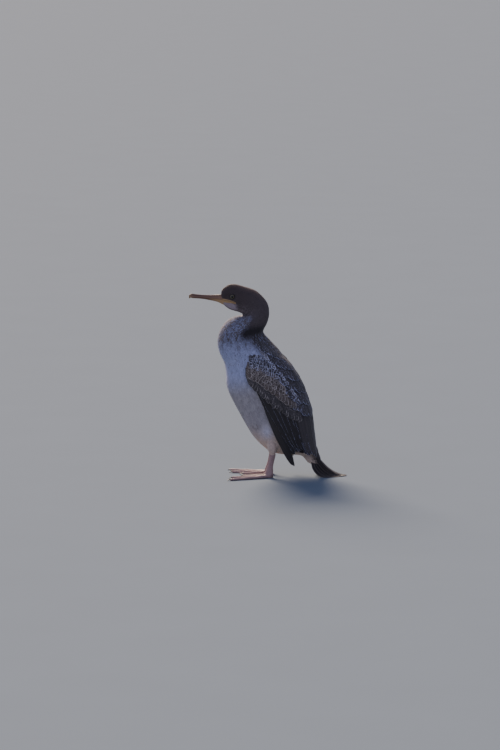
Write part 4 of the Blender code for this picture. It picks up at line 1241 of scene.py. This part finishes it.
# Tiers of the wing, lowest first: count, lines of roots and tips as (distance down the
# axis, turn), half width, lift of the tip, roll, outline, names of middle and fringe
# colours, the fringe's width, and how fast it narrows away from the tip
TIERS = {
    "primaries": (6, ((95, 102), (115, 94), (133, 86)),
                  ((279, 104), (276, 101), (272, 98), (265, 93), (256, 88)),
                  6.6, -0.6, 15, "flight", "flight", "flight", 0.3, 0.0),
    "secondaries": (11, ((99, 103), (121, 86), (148, 70), (168, 58)),
                    ((249, 88), (256, 82), (261, 74), (265, 64), (268, 55)),
                    6.4, 0.5, 10, "flight", "flight", "edge_sheen", 0.22, 0.0),
    "tertials": (6, ((150, 56), (164, 44), (170, 31), (164, 19)),
                 ((268, 54), (277, 43), (279, 31), (272, 19)),
                 8.4, 1.6, 9, "flight", "scapular", "edge_sheen", 0.28, 0.03),
    "greater_coverts": (20, ((58, 109), (82, 97), (109, 84), (138, 71), (158, 58)),
                        ((101, 110), (127, 101), (157, 89), (188, 71), (203, 57)),
                        6.6, 1.6, -5, "covert", "scapular", "fringe", 0.85, 0.9),
    "median_coverts": (17, ((48, 101), (66, 92), (90, 82), (118, 70), (140, 58)),
                       ((79, 108), (101, 96), (130, 83), (158, 68), (177, 57)),
                       6.8, 1.8, -6, "covert", "covert", "fringe", 1.1, 0.13),
    **lesser_tiers(8),
    "fifth_scapulars": (7, ((122, 58), (134, 48), (141, 37), (143, 27), (138, 18)),
                        ((174, 58), (188, 50), (198, 39), (202, 28), (196, 17)),
                        8.4, 2.4, 7, "covert", "scapular", "edge_sheen", 1.1, 0.06),
    "fourth_scapulars": (8, ((98, 57), (110, 48), (117, 37), (119, 27), (115, 18)),
                         ((148, 59), (164, 50), (173, 39), (177, 28), (172, 17)),
                         8.0, 2.3, 7, "covert", "scapular", "edge_sheen", 1.2, 0.06),
    "third_scapulars": (8, ((74, 57), (86, 48), (94, 37), (98, 27), (94, 18)),
                        ((120, 59), (136, 50), (146, 39), (150, 28), (146, 17)),
                        7.6, 2.2, 7, "covert", "scapular", "edge_sheen", 1.2, 0.06),
    "second_scapulars": (8, ((50, 56), (62, 47), (71, 37), (76, 27), (74, 19)),
                         ((92, 59), (106, 50), (118, 39), (124, 28), (120, 18)),
                         7.2, 2.1, 7, "covert", "scapular", "edge_sheen", 1.1, 0.12),
    "first_scapulars": (8, ((26, 55), (36, 46), (47, 36), (54, 27), (54, 20)),
                        ((66, 59), (78, 50), (91, 38), (98, 27), (96, 19)),
                        6.8, 1.9, 7, "covert", "scapular", "edge_sheen", 1.1, 0.12),
    "top_scapulars": (7, ((8, 54), (18, 44), (30, 34), (40, 24)),
                      ((40, 61), (52, 50), (66, 37), (76, 25)),
                      6.4, 1.5, 7, "covert", "scapular", "edge_sheen", 1.1, 0.12),
    "edge_coverts": (26, ((26, 63), (54, 60), (86, 56), (120, 52), (140, 49)),
                     ((44, 64), (72, 61), (106, 56), (142, 52), (162, 50)),
                     3.4, 2.1, -3, "covert", "covert", "shoulder", 1.7, 0.10),
}
FLIGHT_TIERS = ("primaries", "secondaries", "tertials")
# Share of painted sky glints (specks) for each group of wing feathers
SKY_GLINT_SHARE = {"flight": 0.0, "covert": 0.48, "scapular": 0.80}
SINK = {
    "primaries": -3.6, "top_scapulars": -4.5,
    "lesser_coverts_7": -8.0, "lesser_coverts_6": -6.5, "lesser_coverts_5": -4.5,
}


def vane_material(name, gloss):
    """Feather vanes: fine slanting barbs, a shaft, a pale worn edge and specks, which are painted glints of sky
    light; where the edge takes the edge sheen colour it is a painted sheen too.
    """
    finish = Finish(name, Roughness=0.55, Specular_IOR_Level=0.4, Sheen_Weight=0.1)
    edge, width = finish.attribute("from_edge"), finish.attribute("fringe_width")
    worn = finish.noise(2.0)
    torn = (finish.noise(1.0, detail=2.0) - 0.5) * width * 2.2
    fringe = 1 - (edge + 0.8 * (worn - 0.5) + torn).between(width * 0.35, width * 1.35)
    patchy = 0.45 + 0.55 * finish.noise(6.0, detail=1.0).between(0.34, 0.56)
    # Specks in the fringe colour: painted glints of sky light
    specks = finish.noise(1.8, detail=2.0).between(0.56, 0.70) * finish.attribute("flecked")
    colour = finish.mix(finish.colours("ground"), finish.colours("fringe"), (fringe * patchy).math("MAXIMUM", specks))
    shaft = 1 - finish.attribute("from_shaft").between(0.18, 0.42)
    colour = finish.mix(colour, (0.02, 0.016, 0.014), shaft * 0.65)
    barbs = (finish.attribute("barb") * (2 * math.pi / 0.9)).math("SINE")
    streaks = finish.noise(5.0, (1.0, 1.0, 0.35))
    middle = finish.attribute("from_shaft").between(0.0, 4.0)
    light = 0.50 + 0.40 * finish.attribute("chance") + 0.12 * barbs + 0.36 * streaks + 0.24 * middle
    finish.join(Base_Color=finish.brightened(colour, light))
    finish.join(Roughness=gloss + 0.22 * worn)
    finish.bump(barbs * 0.5 + 0.6 * streaks + shaft, 0.5, 0.2)
    return finish.material


class SHAG_OT_wings(bpy.types.Operator):
    """Flight feathers, coverts and scapulars of both folded wings"""

    bl_idname = "shag.wings"
    bl_label = "Wings"

    def execute(self, context):
        paint = context.scene.shag_colours
        thickness = context.scene.shag_sizes.vane_thickness / MM
        material = vane_material("wing_vanes", 0.42)
        for side, word in ((1, "left"), (-1, "right")):
            rng = np.random.default_rng(7 if side > 0 else 8)
            groups = {"flight": [], "covert": [], "scapular": []}
            for name, tier in TIERS.items():
                count, roots, tips, half_width, lift, roll, kind, middle, edge, fringe, fade = tier
                part = np.linspace(0, 1, count)
                root, tip = spaced(roots, part), spaced(tips, part)
                long = (tip - root)[:, 0]
                tip[:, 0] += long * rng.uniform(-0.06, 0.06, count)
                root[:, 1] += rng.normal(0, 0.7, count)
                tip[:, 1] += rng.normal(0, 1.1, count)
                lesser = name.startswith("lesser")
                sink = SINK.get(name, -2.3) - 4.5 * lesser * (1 - part) ** 8
                laid = lay_on_wing(root, tip, half_width, sink[:, None], lift, roll, kind, rng)
                ground = np.tile(np.array(getattr(paint, middle)), (count, 1))
                fringe_colour = np.tile(np.array(getattr(paint, edge)), (count, 1))
                widths = np.full(count, fringe) * rng.uniform(0.6, 1.25, count)
                chance = rng.uniform(0, 1, count)
                fades = np.full(count, fade)
                raised = np.full(count, 1.0 if roll > 0 else -1.0)
                group = "scapular" if "scapular" in name else "flight" if name in FLIGHT_TIERS else "covert"
                flecked = np.full(count, SKY_GLINT_SHARE[group])
                if lesser:
                    widths = widths * (0.86 + 0.30 * part)
                if group == "scapular":
                    widths, flecked = widths * (1 - 0.4 * part), flecked * (1 - 0.75 * part)
                groups[group].append((laid, ground, fringe_colour, widths, chance, fades, raised, flecked))
            for group, tiers in groups.items():
                centres, sides, ups, half_widths, lengths = (
                    np.concatenate([tier[0][place] for tier in tiers]) for place in range(5)
                )
                ground, fringe_colour, widths, chance, fades, raised, flecked = (
                    np.concatenate([tier[place] for tier in tiers]) for place in range(1, 8)
                )
                upper = vane_grid(centres, sides, ups, half_widths, rng, 0.28)
                details = {
                    "half_widths": half_widths, "lengths": lengths, "ground": ground,
                    "fringe": fringe_colour, "fringe_width": widths, "chance": chance, "fade": fades,
                    "raised": raised, "flecked": flecked,
                }
                flip = np.array([side, 1, 1])
                mesh = vanes(f"{word}_{group}", upper * flip, ups * flip, thickness, details)
                obj = object_of(f"{word}_{group}_feathers", mesh)
                nodes = (f"wing_{word}",) if group == "flight" else ()
                finish_piece(obj, material, "flight_feathers", *nodes)
                print(obj.name, len(mesh.polygons), "faces")
        return {"FINISHED"}


class SHAG_OT_tail(bpy.types.Operator):
    """Twelve stiff tail feathers, bent on the floor"""

    bl_idname = "shag.tail"
    bl_label = "Tail"

    pairs: bpy.props.IntProperty(name="Pairs", description="Tail feathers a side", default=6, min=2, max=9)

    def execute(self, context):
        paint = context.scene.shag_colours
        rng = np.random.default_rng(5)
        centres, sides, ups, half_widths = [], [], [], []
        for pair in range(self.pairs - 1, -1, -1):
            for side in (1, -1):
                share = pair / (self.pairs - 1)
                part = STATIONS * (1 - 0.02 * rng.uniform(0, 1))
                inner, outer = spaced(CENTRAL_TAIL_LINE, part), spaced(OUTER_TAIL_LINE, part)
                place = inner + (outer - inner) * share**1.25
                root_x, tip_x = 2.6 + 7.4 * share, 4.2 + 20.8 * share
                x = root_x + (tip_x - root_x) * part**1.3
                line = np.column_stack([side * x, place])
                roll = np.radians(5 + 53 * share + (2 + 5 * share - 5 - 53 * share) * part)[:, None]
                run = unit(np.gradient(line, axis=0))
                level = unit(np.cross(run, np.array([side, 0.0, 0.0])))
                level = np.where(level[:, 2:] < 0, -level, level)
                out = unit(np.cross(level, run))
                out = np.where(out[:, :1] * side < 0, -out, out)
                centres.append(line)
                sides.append(out * np.cos(roll) - level * np.sin(roll))
                ups.append(level * np.cos(roll) + out * np.sin(roll))
                half_widths.append(6.9 * outline("flight", STATIONS))
        centres, sides, ups, half_widths = (np.array(part) for part in (centres, sides, ups, half_widths))
        count = len(centres)
        upper = vane_grid(centres, sides, ups, half_widths, rng, 0.35)
        upper[..., 2] = np.maximum(upper[..., 2], 0.45)
        details = {
            "half_widths": half_widths,
            "lengths": np.linalg.norm(np.diff(centres, axis=1), axis=2).sum(axis=1),
            "ground": np.tile(np.array(paint.flight), (count, 1)),
            "fringe": np.tile(np.array(paint.covert) * 1.7, (count, 1)),
            "fringe_width": np.full(count, 0.6),
            "chance": rng.uniform(0, 1, count),
            "fade": np.zeros(count),
            "raised": np.ones(count),
            "flecked": np.zeros(count),
        }
        mesh = vanes("tail", upper, ups, 0.4, details)
        tail = object_of("tail_feathers", mesh)
        finish_piece(tail, vane_material("tail_vanes", 0.45), "flight_feathers", "tail")
        return {"FINISHED"}


# Bill and eyes


def bill_rings(rows, per_row=8, sides=36):
    """Rings flat along the mouth line and arched over the ridge, with a groove along each side."""
    rings = []
    for row in through(numbered(rows), np.linspace(0, len(rows) - 1, (len(rows) - 1) * per_row + 1)):
        edge, ridge, half_width = row[0:2], row[2:4], row[4]
        turn = math.pi * (np.arange(sides + 1) / sides - 0.5)
        pinch = 1 - 0.13 * hump(0, 6.0, np.abs(np.degrees(turn)) - 50)
        place = edge + (ridge - edge) * np.cos(turn)[:, None]
        arch = np.column_stack([half_width * np.sin(turn) * pinch, place])
        floor = np.linspace(1, -1, 9)[1:-1]
        hollow = edge + (ridge - edge) * (0.07 * (1 - floor**2))[:, None]
        rings.append(np.concatenate([arch, np.column_stack([half_width * floor * 0.98, hollow])]))
    return rings


class SHAG_OT_bill(bpy.types.Operator):
    """Upper bill with its hook, and lower bill"""

    bl_idname = "shag.bill"
    bl_label = "Bill"

    def execute(self, context):
        paint = context.scene.shag_colours
        finish = Finish("bill_horn", Specular_IOR_Level=0.5)
        streaks = finish.noise(2.2, (1.0, 0.16, 1.0), 4.0)
        plates = finish.noise(6.0)
        light = 0.55 + 0.6 * streaks + 0.3 * plates
        finish.join(Base_Color=finish.brightened(finish.colours("markings"), light))
        finish.join(Roughness=0.30 + 0.28 * streaks)
        finish.bump(streaks, 0.35, 0.3)
        for name, rows, node in (("upper_bill", UPPER_BILL_ROWS, "bill_upper"), ("lower_bill", LOWER_BILL_ROWS, "bill_lower")):
            mesh = mesh_of(name, *joined_rings([bill_rings(rows)]))
            turned_outwards(mesh)
            points = points_of(mesh)
            horn = np.tile(np.array(paint.bill), (len(points), 1))
            base = rise(-128, -99, points[:, 1])
            low = name == "lower_bill"
            horn = mixed(horn, paint.bill_base, base * (0.95 if low else 0.22))
            below_ridge = rise(3.6, 0.8, points[:, 2] - np.interp(points[:, 1], (-160, -95), (370.2, 365.0)))
            horn = mixed(horn, np.array(paint.bill_base) * 0.9, (0 if low else 0.35) * below_ridge)
            ridge = rise(0.62, 0.95, (points[:, 2] - 365.0) / np.interp(points[:, 1], (-160, -95), (11.0, 10.6)))
            horn = mixed(horn, np.array(paint.bill) * 0.45, (0 if low else 0.8) * ridge)
            # Paler tip of the bill: a painted glint of sunlight
            tip = rise(-150, -160, points[:, 1])
            horn = mixed(horn, np.array(paint.bill_base) * 0.75, 0.45 * tip)
            store(mesh, "markings", "FLOAT_COLOR", horn)
            finish_piece(object_of(name, mesh), finish.material, "bill_horn", node)
        return {"FINISHED"}


class SHAG_OT_eyes(bpy.types.Operator):
    """Two eyes with their iris, pupil and clear bulge"""

    bl_idname = "shag.eyes"
    bl_label = "Eyes"

    pupil: bpy.props.FloatProperty(
        name="Pupil", description="Radius of the pupil", unit="LENGTH", default=0.0026, min=0.0005, max=0.004
    )

    def execute(self, context):
        paint = context.scene.shag_colours
        finish = Finish("eye", Roughness=0.22, Specular_IOR_Level=0.25, Coat_Weight=0.25, Coat_Roughness=0.04)
        from_axis = finish.attribute("from_axis")
        turn = finish.attribute("round_axis")
        fibres = finish.value("ShaderNodeTexNoise", {"noise_dimensions": "2D"}, {
            "Vector": finish.value("ShaderNodeCombineXYZ", None, {0: turn * 9.0, 1: from_axis * 0.7}),
            "Scale": 1.0, "Detail": 3.0,
        })
        dark = tuple(value * 0.35 for value in paint.iris)
        iris = finish.mix(dark, tuple(value * 1.5 for value in paint.iris), fibres)
        iris = finish.mix(iris, (0.02, 0.018, 0.015), from_axis.between(3.55, 4.15))
        pupil = 1 - from_axis.between(self.pupil / MM - 0.12, self.pupil / MM + 0.12)
        finish.join(Base_Color=finish.mix(iris, (0.003, 0.003, 0.003), pupil))
        for side, word in ((1, "left"), (-1, "right")):
            rings = []
            for tilt in np.linspace(2, 178, 49):
                angle = math.radians(tilt)
                away = EYE_RADIUS * (1 + 0.035 * math.exp(-((tilt / 34.0) ** 2)))
                turns = 2 * math.pi * np.arange(48) / 48
                rings.append(np.column_stack([
                    side * (EYE_CENTRE[0] + away * math.cos(angle)) * np.ones(48),
                    EYE_CENTRE[1] + away * math.sin(angle) * np.cos(turns),
                    EYE_CENTRE[2] + away * math.sin(angle) * np.sin(turns),
                ]))
            mesh = mesh_of(f"eye_{word}", *joined_rings([rings]))
            turned_outwards(mesh)
            points = points_of(mesh)
            store(mesh, "from_axis", "FLOAT", eye_distance(points))
            around = np.arctan2(points[:, 2] - EYE_CENTRE[2], points[:, 1] - EYE_CENTRE[1])
            store(mesh, "round_axis", "FLOAT", np.abs(around))
            finish_piece(object_of(f"{word}_eyeball", mesh), finish.material, "eye", f"eye_{word}")
        return {"FINISHED"}


# Legs


def toe_line(turn, reach, radius, side, count=26):
    """Middle points, radii and distances along a toe, up to its claw."""
    part = np.linspace(0, 1, count)
    away = (reach - CLAW_LENGTH + 2.0) * part
    angle = math.radians(turn)
    knuckle = 1 + 0.13 * np.abs(np.sin(math.pi * 3 * away / reach))
    radii = radius * (1 - 0.45 * away / reach) * knuckle
    x = HEEL[0] + away * math.sin(angle)
    y = HEEL[1] - away * math.cos(angle)
    return np.column_stack([side * x, y, radii * 0.86]), radii, away


def tube_rings(centres, radii, sides=14, flat=0.86):
    """Rings round a level path, a little flatter than round."""
    run = unit(np.gradient(centres, axis=0))
    side = unit(np.cross(run, np.array([0.0, 0.0, 1.0])))
    up = np.cross(side, run)
    turns = 2 * math.pi * np.arange(sides) / sides
    return [
        centre + radius * (np.outer(np.cos(turns), here_side) + flat * np.outer(np.sin(turns), here_up))
        for centre, radius, here_side, here_up in zip(centres, radii, side, up)
    ]


def web_rings(side):
    """The web between the toes as a thin slab, in rings from the inner toe to the outer."""
    rings = []
    for (_, turn, reach, _), (_, next_turn, next_reach, _) in zip(TOES[:-1], TOES[1:]):
        parts = np.linspace(0, 1, 13)
        ring_set = []
        for part in parts:
            angle = math.radians(turn + (next_turn - turn) * part)
            out = ((reach * (1 - part) + next_reach * part) - CLAW_LENGTH) * (1 - 0.13 * math.sin(math.pi * part))
            away = np.linspace(3.0, out, 14)
            sag = 0.55 - 0.25 * math.sin(math.pi * part)
            x = side * (HEEL[0] + away * math.sin(angle))
            y = HEEL[1] - away * math.cos(angle)
            ripple = 0.18 * np.sin(away * 0.9 + 3 * part) * math.sin(math.pi * part)
            top = np.column_stack([x, y, 1.0 + sag + ripple])
            low = np.column_stack([x[::-1], y[::-1], np.full(14, 0.15)])
            ring_set.append(np.concatenate([top, low]))
        rings.append(ring_set)
    return rings


def leg_material(paint):
    finish = Finish("leg_skin", Specular_IOR_Level=0.4)
    cells = finish.value("ShaderNodeTexVoronoi", {"feature": "DISTANCE_TO_EDGE"}, {
        "Vector": finish.place(), "Scale": 1.0 / 1.7,
    })
    crack = 1 - cells.between(0.02, 0.16)
    scute = (finish.attribute("toe_place") * (2 * math.pi / 2.3)).math("SINE")
    on_toe = finish.attribute("on_toe")
    line = scute.between(0.78, 0.98) * on_toe
    patches = finish.noise(7.0)
    colour = finish.brightened(finish.colours("markings"), 0.70 + 0.6 * patches)
    creased = (crack * (1 - on_toe) * 0.7 + line).math("MINIMUM", 1.0)
    finish.join(Base_Color=finish.mix(colour, tuple(0.35 * part for part in paint.leg), creased * 0.55))
    finish.join(Roughness=0.42 + 0.25 * patches)
    finish.bump(1 - creased + 0.3 * finish.noise(0.8), 0.6, 0.35)
    return finish.material


class SHAG_OT_legs(bpy.types.Operator):
    """Scaled legs, webbed feet and claws"""

    bl_idname = "shag.legs"
    bl_label = "Legs and feet"

    def execute(self, context):
        paint = context.scene.shag_colours
        cell = context.scene.shag_sizes.leg_cell
        material = leg_material(paint)
        horn = Finish("claw_horn", Specular_IOR_Level=0.5)
        streaks = horn.noise(1.2, (1.0, 0.3, 1.0))
        horn.join(Base_Color=horn.mix(tuple(paint.claw), tuple(2.4 * part for part in paint.claw), streaks))
        horn.join(Roughness=0.28 + 0.25 * streaks)
        for side, word in ((1, "left"), (-1, "right")):
            bodies = [level_rings(SHANK_ROWS, side, 6, 32)]
            lines = []
            for _, turn, reach, radius in TOES:
                centres, radii, away = toe_line(turn, reach, radius, side)
                bodies.append(tube_rings(centres, radii))
                lines.append((centres, radii, away))
            bodies += web_rings(side)
            leg = fused(f"leg_{word}_skin", *joined_rings(bodies), cell, 3)
            mesh = leg.data
            points = points_of(mesh)
            points[:, 2] = np.maximum(points[:, 2], 0.0)
            move_points(mesh, points)
            place, near = np.zeros(len(points)), np.full(len(points), 1e9)
            for centres, radii, away in lines:
                off = np.linalg.norm(points[:, None, :2] - centres[None, :, :2], axis=2)
                best = off.argmin(axis=1)
                share = off[np.arange(len(points)), best] / radii[best]
                place = np.where(share < near, np.interp(best, np.arange(len(away)), away), place)
                run = centres[-1] - centres[0]
                run = run / np.linalg.norm(run)
                exact = (points - centres[0]) @ run
                place = np.where(share < near, exact, place)
                near = np.minimum(near, share)
            on_toe = (1 - rise(0.9, 1.3, near)) * (1 - rise(6, 12, points[:, 2]))
            front = (points[:, 2] > 12) & (points[:, 1] < np.interp(points[:, 2], (12, 46), (1.5, 7.5)))
            store(mesh, "toe_place", "FLOAT", np.where(front, points[:, 2], place))
            store(mesh, "on_toe", "FLOAT", np.where(front, 0.8, on_toe))
            skin = np.tile(np.array(paint.leg), (len(points), 1))
            web = rise(1.0, 1.6, near) * (1 - rise(4, 9, points[:, 2]))
            skin = mixed(skin, np.array(paint.leg) * 0.62, web)
            # Outer side of each leg darker: painted shade
            outer = rise(2, 9, points[:, 0] * side - 27) * rise(4, 14, points[:, 2]) * 0.35
            skin = mixed(skin, np.array(paint.leg) * 0.5, outer)
            store(mesh, "markings", "FLOAT_COLOR", skin)
            finish_piece(leg, material, "leg_skin", f"tarsus_{word}", f"foot_{word}")

            claws = []
            for _, turn, reach, radius in TOES:
                part = np.linspace(0, 1, 16)
                away = reach - CLAW_LENGTH + CLAW_LENGTH * 0.99 * part
                angle = math.radians(turn)
                thick = 0.60 * radius * (1 - part) ** 0.8 * 0.72 + 0.12
                arch = 0.86 * thick + 0.9 * np.sin(math.pi * part) + 0.9 * (1 - part)
                centres = np.column_stack([
                    side * (HEEL[0] + away * math.sin(angle)), HEEL[1] - away * math.cos(angle), arch
                ])
                claws.append(tube_rings(centres, thick, 12, 1.0))
            claw_mesh = mesh_of("claws", *joined_rings(claws))
            turned_outwards(claw_mesh)
            finish_piece(object_of(f"{word}_claws", claw_mesh), horn.material, "leg_skin")
        return {"FINISHED"}


# Stage


class SHAG_OT_stage(bpy.types.Operator):
    """Plain floor, soft lights and the camera"""

    bl_idname = "shag.stage"
    bl_label = "Stage"

    def execute(self, context):
        scene = context.scene
        paint = scene.shag_colours
        finish = Finish("plain_floor", Roughness=0.9, Specular_IOR_Level=0.1)
        grain = finish.noise(180.0)
        finish.join(Base_Color=finish.brightened(finish.mix(tuple(paint.floor), tuple(paint.floor), grain), 0.97 + 0.06 * grain))
        edge = np.linspace(-60000.0, 60000.0, 9)
        points = [(x, y, 0.0) for x in edge for y in edge]
        faces = [
            (9 * row + column, 9 * row + 9 + column, 9 * row + 10 + column, 9 * row + 1 + column)
            for row in range(8) for column in range(8)
        ]
        floor = object_of("floor", mesh_of("floor", points, faces))
        floor.data.materials.append(finish.material)
        floor.data.shade_smooth()

        def lamp(name, place, spread, power, tint):
            data = bpy.data.lights.new(name, "SUN")
            data.angle = math.radians(spread)
            data.energy = power
            data.color = tint
            obj = object_of(name, data)
            obj.location = place
            obj.rotation_euler = (-Vector(place)).to_track_quat("-Z", "Y").to_euler()

        lamp("key", (-2.4, -1.0, 1.8), 30, 8.0, (1.0, 0.81, 0.65))
        lamp("fill", (3.2, -1.2, 1.5), 80, 0.60, (0.68, 0.70, 1.0))
        world = bpy.data.worlds.new("studio")
        world.use_nodes = True
        world.node_tree.nodes["Background"].inputs["Color"].default_value = (0.60, 0.66, 1.0, 1.0)
        world.node_tree.nodes["Background"].inputs["Strength"].default_value = 0.45
        scene.world = world

        camera = bpy.data.cameras.new("camera")
        camera.lens = LENS
        camera.sensor_width = SENSOR
        camera.clip_end = 100.0
        obj = object_of("camera", camera)
        away = LENS / SENSOR * PICTURE[1] * PIXEL * MM
        tilt = math.radians(VIEW_ELEVATION)
        aim = Vector(AIM) * MM
        obj.location = aim + Vector((math.cos(tilt), 0, math.sin(tilt))) * away
        obj.rotation_euler = (aim - obj.location).to_track_quat("-Z", "Y").to_euler()
        scene.camera = obj
        return {"FINISHED"}


OPERATORS = (
    SHAG_OT_skin, SHAG_OT_plumage, SHAG_OT_wings, SHAG_OT_tail,
    SHAG_OT_bill, SHAG_OT_eyes, SHAG_OT_legs, SHAG_OT_stage,
)


class SHAG_PT_panel(bpy.types.Panel):
    bl_label = "Shag"
    bl_idname = "SHAG_PT_panel"
    bl_space_type = "VIEW_3D"
    bl_region_type = "UI"
    bl_category = "Shag"

    def draw(self, context):
        for group in (context.scene.shag_sizes, context.scene.shag_colours):
            box = self.layout.box()
            for name in group.__annotations__:
                box.prop(group, name)
        for operator in OPERATORS:
            self.layout.operator(operator.bl_idname)


CLASSES = (ShagSizes, ShagColours, *OPERATORS, SHAG_PT_panel)


def register():
    for entry in CLASSES:
        bpy.utils.register_class(entry)
    bpy.types.Scene.shag_sizes = bpy.props.PointerProperty(type=ShagSizes)
    bpy.types.Scene.shag_colours = bpy.props.PointerProperty(type=ShagColours)


def unregister():
    del bpy.types.Scene.shag_colours
    del bpy.types.Scene.shag_sizes
    for entry in reversed(CLASSES):
        bpy.utils.unregister_class(entry)


def main():
    register()
    bpy.ops.shag.skin()
    bpy.ops.shag.plumage()
    bpy.ops.shag.wings()
    bpy.ops.shag.tail()
    bpy.ops.shag.bill()
    bpy.ops.shag.eyes()
    bpy.ops.shag.legs()
    bpy.ops.shag.stage()


if __name__ == "__main__":
    main()
